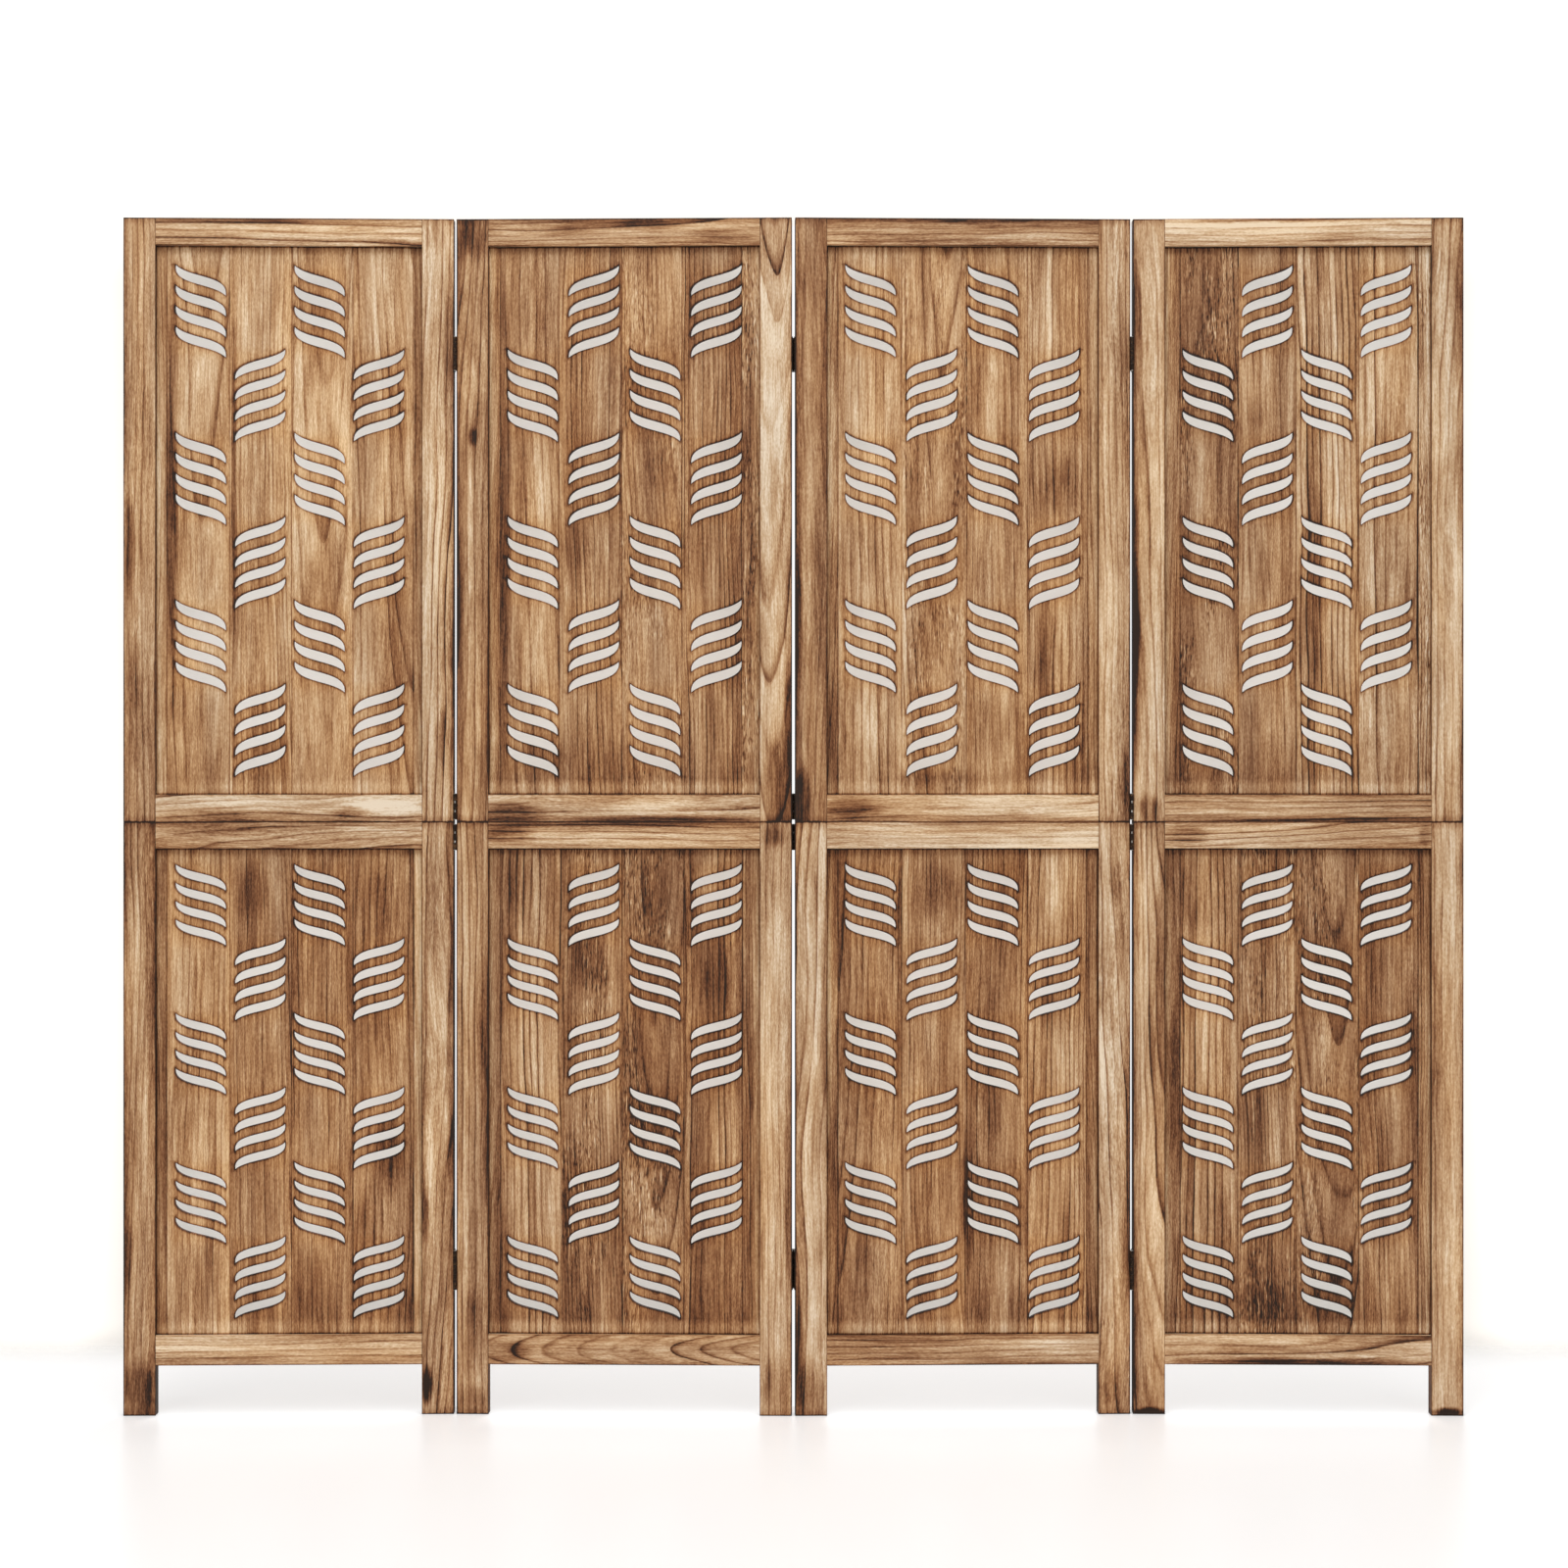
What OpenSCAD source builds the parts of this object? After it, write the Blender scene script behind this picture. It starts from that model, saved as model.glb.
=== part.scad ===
// Free-standing folding screen of four pierced wooden leaves.
// Each leaf is an upper frame that stands on a lower frame. Each frame is two stiles, two rails
// and one thin panel pierced with curved slots. Small butt hinges join the leaves.
// Millimetres, +Z up, the front faces -Y. The origin is on the floor, in the middle of the screen.

/* [Leaves] */
// Width of each of the two middle leaves
middle_leaf_w = 505; // [485:5:600]
// Width of each of the two end leaves
end_leaf_w = 495; // [485:5:600]
// Thickness of the frame timber
frame_t = 22; // [20:1:30]
// Gap between neighbouring leaves when the screen is pulled flat
leaf_gap = 4; // [3.6:0.2:8]
// Turn of each leaf out of the flat as the screen stands, in degrees
zigzag = 1.5; // [0.5:0.5:40]

/* [Frames] */
// Width of the upright stiles
stile_w = 48; // [46:1:60]
// Height of the legs under the bottom rail
leg_h = 75; // [40:5:120]
// Height of the lower frame's bottom rail
lower_bottom_rail_h = 45; // [40:1:60]
// Height of the lower frame's opening
lower_opening_h = 732; // [700:4:860]
// Height of the lower frame's top rail
lower_top_rail_h = 40; // [40:1:60]
// Height of the upper frame's bottom rail
upper_bottom_rail_h = 41; // [40:1:60]
// Height of the upper frame's opening
upper_opening_h = 826; // [790:4:960]
// Height of the upper frame's top rail
upper_top_rail_h = 41; // [36:1:60]

/* [Joinery] */
// Length of the tenon on each end of a rail
tenon_len = 24; // [14:1:26]
// Thickness of the tenons
tenon_t = 8; // [6:0.5:8]
// Step from a rail's outer edge to its tenon
tenon_step = 6; // [3:1:9]
// Depth of the groove that holds a panel
groove_depth = 9; // [6:1:11]
// Slip between the panel's face and its groove
groove_slip = 0.2; // [0.1:0.1:0.5]
// Room for the panel to swell across and along
panel_slack = 0.8; // [0.3:0.1:0.9]
// Glue gap around tenons and dowels
glue_gap = 0.1; // [0.05:0.05:0.2]
// Diameter of the dowels that locate the upper frame on the lower one
dowel_d = 10; // [6:1:12]
// Length of the dowels
dowel_len = 46; // [24:2:52]
// Distance of each dowel from the nearest stile
dowel_inset = 60; // [30:5:120]

/* [Panels] */
// Thickness of the panels
panel_t = 8; // [6:0.5:10]
// Width of a slot, from tip to tip
slot_w = 75.6; // [60:0.4:78]
// Height of a slot in the upper panels, from tip to tip
upper_slot_h = 46.5; // [38:0.5:48]
// Height of a slot in the lower panels, from tip to tip
lower_slot_h = 40.5; // [34:0.5:42]
// Spacing of the slots in a group, upper panels
upper_slot_pitch = 31; // [28:0.5:34]
// Spacing of the slots in a group, lower panels
lower_slot_pitch = 27.6; // [25:0.2:30]
// Slots in a group
group_slots = 4; // [2:1:4]
// Groups in a column
column_groups = 3; // [1:1:3]
// Columns in a panel
slot_columns = 4; // [2:1:4]
// Distance from the stile to the tips of the nearest slots
side_margin = 28; // [16:1:29]
// Distance from the rail to the middle of the nearest slot, upper panels
upper_end_margin = 51; // [40:1:60]
// Distance from the rail to the middle of the nearest slot, lower panels
lower_end_margin = 44; // [36:1:52]

/* [Hinges] */
// Thickness of the hinge plates
plate_t = 1.5; // [1:0.1:1.7]
// Depth that the plates reach across the edge of the stile
plate_reach = 17; // [14:1:19]
// Outer radius of the knuckles
knuckle_r = 3; // [2.6:0.1:3.3]
// Radius of the hinge pins
pin_r = 1.25; // [1:0.05:1.5]
// Radial clearance of the pins in the knuckles
pin_clear = 0.05; // [0.02:0.01:0.1]
// Distance of the pin's axis out from the face of the frame
pin_out = 3; // [2.9:0.1:5]
// Radius of the pins' flat heads
pin_head_r = 2.2; // [1.8:0.1:2.5]
// Thickness of the pins' flat heads
pin_head_h = 0.8; // [0.5:0.1:1.2]
// Length of the top hinges
top_hinge_len = 50; // [46:1:70]
// Distance from the top of the screen to the middle of the top hinges
top_hinge_drop = 203; // [100:1:300]
// Length of the hinges on each side of the seam
seam_hinge_len = 38; // [36:1:44]
// Distance from the seam to the near end of the hinges beside it
seam_hinge_gap = 4; // [2:1:8]
// Length of the bottom hinges
bottom_hinge_len = 58; // [46:1:70]
// Height of the middle of the bottom hinges above the floor
bottom_hinge_rise = 217; // [160:1:300]
// Gap between the knuckles of the top and bottom hinges
knuckle_gap = 0.5; // [0.3:0.1:1]
// Gap between the knuckles of the hinges beside the seam, where the pin shows
seam_knuckle_gap = 3.4; // [0.4:0.2:4]
// Clearance between a plate and the knuckles of the other leaf
swing_clear = 0.4; // [0.3:0.1:0.8]
// Knuckles of the top and bottom hinges
long_hinge_knuckles = 5; // [3:2:7]
// Knuckles of the hinges beside the seam
seam_hinge_knuckles = 3; // [3:2:5]
// Screws in each plate of the top and bottom hinges
long_hinge_screws = 3; // [2:1:4]
// Screws in each plate of the hinges beside the seam
seam_hinge_screws = 2; // [2:1:3]

/* [Screws] */
// Radius of the screws' countersunk heads
screw_head_r = 3; // [2.4:0.1:3.4]
// Depth of the countersunk heads
screw_head_h = 1.2; // [0.6:0.1:1.3]
// Radius of the screws' shanks
screw_r = 1.4; // [1:0.1:1.6]
// Length of the screws
screw_len = 16; // [8:1:18]
// Clearance around the screws in plates and pilot holes
screw_clear = 0.05; // [0.02:0.01:0.1]
// Distance from the end of a plate to its first screw
screw_inset = 8; // [6:0.5:9]

/* [Hidden] */
$fn = 48;
over = 1;
slot_steps = 12;
recess_w = 0.6;
recess_span = 3.6;
recess_depth = 0.7;
screw_tip = 3;
left = -1;
right = 1;
front = -1;
back = 1;
rising = 1;
falling = -1;

wood_pale = [0.86, 0.72, 0.55];
wood_mid = [0.76, 0.58, 0.40];
wood_panel = [0.80, 0.64, 0.45];
dowel_tone = [0.88, 0.80, 0.66];
bronze = [0.20, 0.15, 0.11];
steel = [0.62, 0.60, 0.57];

// Heights of a frame: foot, bottom rail's underside, opening's bottom and top, head
seam_z = leg_h + lower_bottom_rail_h + lower_opening_h + lower_top_rail_h;
screen_h = seam_z + upper_bottom_rail_h + upper_opening_h + upper_top_rail_h;
lower_open_z = leg_h + lower_bottom_rail_h;
upper_open_z = seam_z + upper_bottom_rail_h;
lower_frame = [0, leg_h, lower_open_z, lower_open_z + lower_opening_h, seam_z];
upper_frame = [seam_z, seam_z, upper_open_z, upper_open_z + upper_opening_h, screen_h];
function foot_z(frame) = frame[0];
function rail_z(frame) = frame[1];
function open_low(frame) = frame[2];
function open_high(frame) = frame[3];
function head_z(frame) = frame[4];

groove_w = panel_t + 2 * groove_slip;
dowel_hole_r = dowel_d / 2 + glue_gap;
dowel_hole_depth = dowel_len / 2 + glue_gap;

// Leaves are counted from the left, and odd ones turn their right edge to the back
leaf_count = 4;
leaves = [for (leaf = [1 : leaf_count]) leaf];
folds = [for (fold = [1 : leaf_count - 1]) fold];
function is_end(leaf) = leaf == 1 || leaf == leaf_count;
function leaf_w(leaf) = is_end(leaf) ? end_leaf_w : middle_leaf_w;
function opening_w(leaf) = leaf_w(leaf) - 2 * stile_w;
function leaf_turn(leaf) = leaf % 2 == 1 ? zigzag : -zigzag;
// Half of a leaf's run along X, from one pin's axis to the middle of the leaf
function half_run(leaf) =
    (leaf_w(leaf) + leaf_gap) / 2 * cos(zigzag) + (frame_t / 2 + pin_out) * sin(zigzag);
// Each leaf lies beside the one nearer the middle fold
function leaf_x(leaf) =
    leaf == leaf_count / 2 ? -half_run(leaf)
    : leaf == leaf_count / 2 + 1 ? half_run(leaf)
    : leaf < leaf_count / 2 ? leaf_x(leaf + 1) - half_run(leaf + 1) - half_run(leaf)
    : leaf_x(leaf - 1) + half_run(leaf - 1) + half_run(leaf);
middle_y = max(0, end_leaf_w - middle_leaf_w) / 2 * sin(zigzag);
end_y = middle_y + (middle_leaf_w - end_leaf_w) / 2 * sin(zigzag);
function leaf_y(leaf) = is_end(leaf) ? end_y : middle_y;

// The pins of folds 1 and 3 are in front, and those of fold 2 behind
function pin_face(fold) = fold == 2 ? back : front;

// Each hinge: middle height, length, knuckles, gap between knuckles, screws in each plate
top_hinge = [screen_h - top_hinge_drop, top_hinge_len, long_hinge_knuckles, knuckle_gap,
    long_hinge_screws];
upper_seam_hinge = [seam_z + seam_hinge_gap + seam_hinge_len / 2, seam_hinge_len,
    seam_hinge_knuckles, seam_knuckle_gap, seam_hinge_screws];
lower_seam_hinge = [seam_z - seam_hinge_gap - seam_hinge_len / 2, seam_hinge_len,
    seam_hinge_knuckles, seam_knuckle_gap, seam_hinge_screws];
bottom_hinge = [bottom_hinge_rise, bottom_hinge_len, long_hinge_knuckles, knuckle_gap,
    long_hinge_screws];
hinges = [top_hinge, upper_seam_hinge, lower_seam_hinge, bottom_hinge];
function hinge_z(hinge) = hinge[0];
function hinge_len(hinge) = hinge[1];
function knuckles(hinge) = hinge[2];
function gap_between(hinge) = hinge[3];
function screw_count(hinge) = hinge[4];
function knuckle_len(hinge) =
    (hinge_len(hinge) - (knuckles(hinge) - 1) * gap_between(hinge)) / knuckles(hinge);
function knuckle_z(hinge, k) =
    hinge_z(hinge) - hinge_len(hinge) / 2 + k * (knuckle_len(hinge) + gap_between(hinge));
function screw_z(hinge, n) =
    let (span = hinge_len(hinge) - 2 * screw_inset)
    hinge_z(hinge) - span / 2 + n * span / (screw_count(hinge) - 1);
// The plates start just clear of the other leaf's knuckles
plate_start = knuckle_r + swing_clear - pin_out;
screw_depth_y = (plate_start + plate_reach) / 2;

// A slot's upper edge is a cubic curve from tip to tip: shallow at first, steep at the end.
// Its two control points are ratios of half the slot's width and height.
entry_ratio = [-0.45, 0.15];
shoulder_ratio = [1.12, 0.37];
function cubic(a, b, c, d, t) =
    pow(1 - t, 3) * a + 3 * pow(1 - t, 2) * t * b + 3 * (1 - t) * t * t * c + pow(t, 3) * d;
function slot_edge(w, h) = [
    for (n = [0 : slot_steps - 1])
        let (p = cubic([-1, 1], entry_ratio, shoulder_ratio, [1, -1], n / slot_steps))
        [p[0] * w / 2, p[1] * h / 2]
];

wood_parts = ["upper_left_stile", "upper_right_stile", "upper_top_rail", "upper_bottom_rail",
    "upper_panel", "lower_left_stile", "lower_right_stile", "lower_top_rail",
    "lower_bottom_rail", "lower_panel", "dowels"];
hinge_parts = ["left_plates", "right_plates", "pins", "left_screws", "right_screws"];

// Places a leaf's own frame: X across the leaf, Y through it, middle at the origin
module on_leaf(leaf) {
    translate([leaf_x(leaf), leaf_y(leaf), 0])
        rotate([0, 0, leaf_turn(leaf)])
            children();
}

// Places a hinge's frame on one side of a fold: the pin is at X 0, and Y runs into the frame
module on_fold(fold, side) {
    leaf = side == left ? fold : fold + 1;
    on_leaf(leaf)
        translate([-side * (leaf_w(leaf) + leaf_gap) / 2, pin_face(fold) * frame_t / 2, 0])
            mirror([0, pin_face(fold) == back ? 1 : 0, 0])
                children();
}

module box_between(a, b) {
    translate([min(a[0], b[0]), min(a[1], b[1]), min(a[2], b[2])])
        cube([abs(b[0] - a[0]), abs(b[1] - a[1]), abs(b[2] - a[2])]);
}

// ---- frames ----

module stile(leaf, frame, side) {
    inner = side * opening_w(leaf) / 2;
    outer = side * leaf_w(leaf) / 2;
    color(wood_pale)
        difference() {
            box_between([inner, -frame_t / 2, foot_z(frame)], [outer, frame_t / 2, head_z(frame)]);
            box_between([inner - side * over, -groove_w / 2, open_low(frame) - groove_depth],
                [inner + side * groove_depth, groove_w / 2, open_high(frame) + groove_depth]);
            mortise(inner, side, rail_z(frame) + tenon_step - glue_gap,
                open_low(frame) - groove_depth + over);
            mortise(inner, side, open_high(frame) + groove_depth - over,
                head_z(frame) - tenon_step + glue_gap);
            if (side == right && leaf < len(leaves)) pilot_holes(outer, side, leaf);
            if (side == left && leaf > 1) pilot_holes(outer, side, leaf - 1);
        }
}

module mortise(inner, side, low, high) {
    box_between([inner - side * over, -tenon_t / 2 - glue_gap, low],
        [inner + side * (tenon_len + glue_gap), tenon_t / 2 + glue_gap, high]);
}

module pilot_holes(outer, side, fold) {
    for (hinge = hinges)
        for (n = [0 : screw_count(hinge) - 1])
            translate([outer + side * over, pin_face(fold) * (frame_t / 2 - screw_depth_y),
                    screw_z(hinge, n)])
                rotate([0, -side * 90, 0])
                    cylinder(r = screw_r + screw_clear, h = over + screw_len);
}

module bottom_rail(leaf, frame) {
    rail(leaf, rail_z(frame), open_low(frame), rail_z(frame) + tenon_step,
        open_low(frame) - groove_depth, open_low(frame));
}

module top_rail(leaf, frame) {
    rail(leaf, open_high(frame), head_z(frame), open_high(frame) + groove_depth,
        head_z(frame) - tenon_step, open_high(frame));
}

// A rail from low to high, with tenons between two heights and a groove along the opening's edge
module rail(leaf, low, high, tenon_low, tenon_high, edge) {
    half = opening_w(leaf) / 2;
    color(wood_mid)
        difference() {
            union() {
                box_between([-half, -frame_t / 2, low], [half, frame_t / 2, high]);
                box_between([-half - tenon_len, -tenon_t / 2, tenon_low],
                    [half + tenon_len, tenon_t / 2, tenon_high]);
            }
            groove_end = edge == high ? edge + over : edge - over;
            groove_floor = edge == high ? edge - groove_depth : edge + groove_depth;
            box_between([-half - over, -groove_w / 2, groove_floor],
                [half + over, groove_w / 2, groove_end]);
            if (low == seam_z || high == seam_z) dowel_holes(leaf);
        }
}

module dowel_holes(leaf) {
    at_dowels(leaf) cylinder(r = dowel_hole_r, h = 2 * dowel_hole_depth, center = true);
}

module dowels(leaf) {
    color(dowel_tone)
        at_dowels(leaf) cylinder(d = dowel_d, h = dowel_len, center = true);
}

module at_dowels(leaf) {
    for (side = [left, right])
        translate([side * (opening_w(leaf) / 2 - dowel_inset), 0, seam_z])
            children();
}

// ---- pierced panels ----

// The outline of one slot, falling to the right
module slot(w, h) {
    edge = slot_edge(w, h);
    polygon(concat(edge, -edge));
}

// All the slots of a panel. On odd leaves the columns at the left edge and every second one
// after it start high and fall to the right. Even leaves are the same leaf seen from behind.
module slots(leaf, low, high, h, pitch, end_margin) {
    half = opening_w(leaf) / 2 - side_margin - slot_w / 2;
    column_pitch = 2 * half / (slot_columns - 1);
    group_h = (group_slots - 1) * pitch;
    group_pitch = (high - low - 2 * end_margin - group_h) / (column_groups - 0.5);
    for (column = [0 : slot_columns - 1])
        for (group = [0 : column_groups - 1])
            for (n = [0 : group_slots - 1]) {
                drop = column % 2 == 0 ? 0 : group_pitch / 2;
                lean = column % 2 == 0 ? 0 : 1;
                z = high - end_margin - drop - group * group_pitch - n * pitch;
                translate([-half + column * column_pitch, z])
                    mirror([lean, 0])
                        slot(slot_w, h);
            }
}

module panel(leaf, frame, h, pitch, end_margin) {
    half = opening_w(leaf) / 2 + groove_depth - panel_slack;
    low = open_low(frame) - groove_depth;
    high = open_high(frame) + groove_depth - panel_slack;
    color(wood_panel)
        translate([0, panel_t / 2, 0])
            rotate([90, 0, 0])
                linear_extrude(height = panel_t)
                    difference() {
                        translate([-half, low]) square([2 * half, high - low]);
                        mirror([leaf % 2 == 0 ? 1 : 0, 0])
                            slots(leaf, open_low(frame), open_high(frame), h, pitch, end_margin);
                    }
}

// ---- hinges ----

// The plates and knuckles that one side of a fold carries
module plates(fold, side) {
    color(bronze)
        on_fold(fold, side)
            for (hinge = hinges) hinge_half(hinge, side);
}

module hinge_half(hinge, side) {
    low = hinge_z(hinge) - hinge_len(hinge) / 2;
    high = hinge_z(hinge) + hinge_len(hinge) / 2;
    wood_x = side * leaf_gap / 2;
    face_x = side * (leaf_gap / 2 - plate_t);
    first = side == left ? 0 : 1;
    difference() {
        union() {
            box_between([wood_x, plate_start, low], [face_x, plate_reach, high]);
            for (k = [first : 2 : knuckles(hinge) - 1]) {
                translate([0, -pin_out, knuckle_z(hinge, k)])
                    cylinder(r = knuckle_r, h = knuckle_len(hinge));
                box_between([wood_x, -pin_out, knuckle_z(hinge, k)],
                    [face_x, plate_start + over, knuckle_z(hinge, k) + knuckle_len(hinge)]);
            }
        }
        translate([0, -pin_out, low - over])
            cylinder(r = pin_r + pin_clear, h = high - low + 2 * over);
        for (n = [0 : screw_count(hinge) - 1])
            at_screw(hinge, n, side) screw_shape(screw_clear);
    }
}

// Places a screw's frame: the head's face is at Z 0, flush with the plate, and Z runs into the wood
module at_screw(hinge, n, side) {
    translate([side * (leaf_gap / 2 - plate_t), screw_depth_y, screw_z(hinge, n)])
        rotate([0, side * 90, 0])
            children();
}

// A countersunk screw, made larger all round by a clearance
module screw_shape(clear) {
    rotate_extrude()
        polygon([
            [0, -clear], [screw_head_r + clear, -clear], [screw_head_r + clear, 0],
            [screw_r + clear, screw_head_h], [screw_r + clear, screw_len - screw_tip],
            [0, screw_len]
        ]);
}

module screws(fold, side) {
    color(bronze)
        on_fold(fold, side)
            for (hinge = hinges)
                for (n = [0 : screw_count(hinge) - 1])
                    at_screw(hinge, n, side)
                        difference() {
                            screw_shape(0);
                            for (turn = [0, 90])
                                rotate([0, 0, turn])
                                    cube([recess_span, recess_w, 2 * recess_depth],
                                        center = true);
                        }
}

// The pins turn with the left leaf of their fold
module pins(fold) {
    color(steel)
        on_fold(fold, left)
            for (hinge = hinges)
                translate([0, -pin_out, hinge_z(hinge) - hinge_len(hinge) / 2]) {
                    cylinder(r = pin_r, h = hinge_len(hinge));
                    translate([0, 0, -pin_head_h]) cylinder(r = pin_head_r, h = pin_head_h);
                    translate([0, 0, hinge_len(hinge)]) cylinder(r = pin_head_r, h = pin_head_h);
                }
}

// ---- the screen ----

module leaf_part(leaf, part) {
    on_leaf(leaf) {
        if (part == "upper_left_stile") stile(leaf, upper_frame, left);
        if (part == "upper_right_stile") stile(leaf, upper_frame, right);
        if (part == "upper_top_rail") top_rail(leaf, upper_frame);
        if (part == "upper_bottom_rail") bottom_rail(leaf, upper_frame);
        if (part == "upper_panel")
            panel(leaf, upper_frame, upper_slot_h, upper_slot_pitch, upper_end_margin);
        if (part == "lower_left_stile") stile(leaf, lower_frame, left);
        if (part == "lower_right_stile") stile(leaf, lower_frame, right);
        if (part == "lower_top_rail") top_rail(leaf, lower_frame);
        if (part == "lower_bottom_rail") bottom_rail(leaf, lower_frame);
        if (part == "lower_panel")
            panel(leaf, lower_frame, lower_slot_h, lower_slot_pitch, lower_end_margin);
        if (part == "dowels") dowels(leaf);
    }
}

module fold_part(fold, part) {
    if (part == "left_plates") plates(fold, left);
    if (part == "right_plates") plates(fold, right);
    if (part == "pins") pins(fold);
    if (part == "left_screws") screws(fold, left);
    if (part == "right_screws") screws(fold, right);
}

for (leaf = leaves)
    for (part = wood_parts)
        leaf_part(leaf, part);
for (fold = folds)
    for (part = hinge_parts)
        fold_part(fold, part);
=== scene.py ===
import math

import bpy
import numpy as np
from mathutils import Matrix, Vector, geometry


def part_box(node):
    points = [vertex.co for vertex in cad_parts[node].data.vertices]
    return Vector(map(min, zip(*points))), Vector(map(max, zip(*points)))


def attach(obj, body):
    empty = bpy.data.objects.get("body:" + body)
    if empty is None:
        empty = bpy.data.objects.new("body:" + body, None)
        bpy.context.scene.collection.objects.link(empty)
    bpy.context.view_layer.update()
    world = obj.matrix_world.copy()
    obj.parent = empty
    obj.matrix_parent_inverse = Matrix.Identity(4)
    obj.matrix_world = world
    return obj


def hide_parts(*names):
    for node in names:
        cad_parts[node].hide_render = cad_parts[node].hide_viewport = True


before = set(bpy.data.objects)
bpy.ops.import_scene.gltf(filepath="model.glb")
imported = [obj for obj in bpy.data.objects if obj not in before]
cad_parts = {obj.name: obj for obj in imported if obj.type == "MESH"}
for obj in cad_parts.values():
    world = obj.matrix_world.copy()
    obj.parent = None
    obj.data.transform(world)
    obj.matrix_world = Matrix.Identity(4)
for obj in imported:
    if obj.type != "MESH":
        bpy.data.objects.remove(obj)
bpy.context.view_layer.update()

# A folding screen of four leaves in torched and brushed wood. Metres, +Z up, the front faces -Y.
# Wood members, hinges and screws are the frame's own solids with a fine bevel and a finish.
# The pierced panels are made here, with a chamfer and a scorched rim round every slot.
print("frame loaded:", len(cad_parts), "nodes")


# Places and sizes, read from the frame
def flatSize(node, turn):
    # Width and thickness of an upright board turned by a small angle, from the sides of its box
    low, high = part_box(node)
    c, s = math.cos(turn), abs(math.sin(turn))
    x, y = high.x - low.x, high.y - low.y
    return (x * c - y * s) / math.cos(2 * turn), (y * c - x * s) / math.cos(2 * turn)


def boxMiddle(node):
    low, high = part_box(node)
    return (low + high) / 2


def readLeaf(leaf):
    # The line from the left stile's middle to the right one's gives the leaf's place and turn
    left, right = (boxMiddle(f"leaf_{leaf}_upper_{side}_stile") for side in ("left", "right"))
    turn = math.atan2(right.y - left.y, right.x - left.x)
    stile, thick = flatSize(f"leaf_{leaf}_upper_left_stile", turn)
    middle = (left + right) / 2
    return {"x": middle.x, "y": middle.y, "turn": turn, "mirrored": leaf % 2 == 0,
            "stile": stile, "thick": thick, "opening": (right - left).length - stile}


def readTier(tier):
    # Heights of a tier's stiles, and of the opening between its two rails
    boxes = [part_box(f"leaf_1_{tier}_{part}") for part in ("left_stile", "bottom_rail", "top_rail")]
    stile, bottom, top = ((low.z, high.z) for low, high in boxes)
    return {"foot": stile[0], "rail": bottom[0], "low": bottom[1], "high": top[0], "head": stile[1]}


folds = (1, 2, 3)
leaves = {leaf: readLeaf(leaf) for leaf in (1, 2, 3, 4)}
tiers = {tier: readTier(tier) for tier in ("lower", "upper")}


# Helpers for shader nodes
def toLinear(rgb):
    # sRGB numbers from 0 to 255 to the linear ones that nodes hold
    c = np.array(rgb, float) / 255
    return np.where(c <= 0.04045, c / 12.92, ((c + 0.055) / 1.055) ** 2.4).tolist()


def addNode(tree, kind, inputs=(), **settings):
    node = tree.nodes.new(kind)
    for name, value in settings.items():
        setattr(node, name, value)
    for key, value in dict(inputs).items():
        if isinstance(value, bpy.types.NodeSocket):
            tree.links.new(value, node.inputs[key])
        else:
            node.inputs[key].default_value = value
    return node


def calc(tree, operation, a, b=0.0, c=0.0):
    return addNode(tree, "ShaderNodeMath", {0: a, 1: b, 2: c}, operation=operation).outputs[0]


def times(tree, a, b):
    return calc(tree, "MULTIPLY", a, b)


def minus(tree, a, b):
    return calc(tree, "SUBTRACT", a, b)


def total(tree, *values):
    out = values[0]
    for value in values[1:]:
        out = calc(tree, "ADD", out, value)
    return out


def vectorCalc(tree, operation, a, b):
    return addNode(tree, "ShaderNodeVectorMath", {0: a, 1: b}, operation=operation).outputs[0]


def axesOf(tree, vector):
    return addNode(tree, "ShaderNodeSeparateXYZ", {0: vector}).outputs


def joinAxes(tree, x, y, z):
    return addNode(tree, "ShaderNodeCombineXYZ", {0: x, 1: y, 2: z}).outputs[0]


def channelsOf(tree, colour):
    return addNode(tree, "ShaderNodeSeparateColor", {0: colour}).outputs


def blendRange(tree, value, start, end, low=0.0, high=1.0):
    # Smooth step of value, from low at start to high at end
    return addNode(tree, "ShaderNodeMapRange", {0: value, 1: start, 2: end, 3: low, 4: high},
                   interpolation_type="SMOOTHSTEP").outputs[0]


def grainNoise(tree, vector, across, along, detail, roughness, output="Fac"):
    # Noise with one scale across and through the board and another along its grain
    drawn = vectorCalc(tree, "MULTIPLY", vector, (across, across, along))
    return addNode(tree, "ShaderNodeTexNoise", {"Vector": drawn, "Scale": 1.0, "Detail": detail,
                   "Roughness": roughness}).outputs[output]


def spread(tree, value, amount):
    # A noise from 0 to 1 made to lie round nought, times its amount
    return times(tree, minus(tree, value, 0.5), amount)


def colourRamp(tree, value, stops, interpolation="LINEAR"):
    node = addNode(tree, "ShaderNodeValToRGB", {0: value})
    ramp = node.color_ramp
    ramp.interpolation = interpolation
    while len(ramp.elements) > 1:
        ramp.elements.remove(ramp.elements[-1])
    for n, (place, colour) in enumerate(stops):
        element = ramp.elements[0] if n == 0 else ramp.elements.new(place)
        element.position = place
        element.color = (*colour, 1.0)
    return node.outputs["Color"]


def greyRamp(tree, value, stops):
    return colourRamp(tree, value, [(place, (tone, tone, tone)) for place, tone in stops])


def mixColours(tree, share, a, b, blend="MIX"):
    return addNode(tree, "ShaderNodeMix", {0: share, 6: a, 7: b}, data_type="RGBA",
                   blend_type=blend).outputs[2]


def mixShaders(tree, share, a, b):
    return addNode(tree, "ShaderNodeMixShader", {0: share, 1: a.outputs[0], 2: b.outputs[0]})


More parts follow.
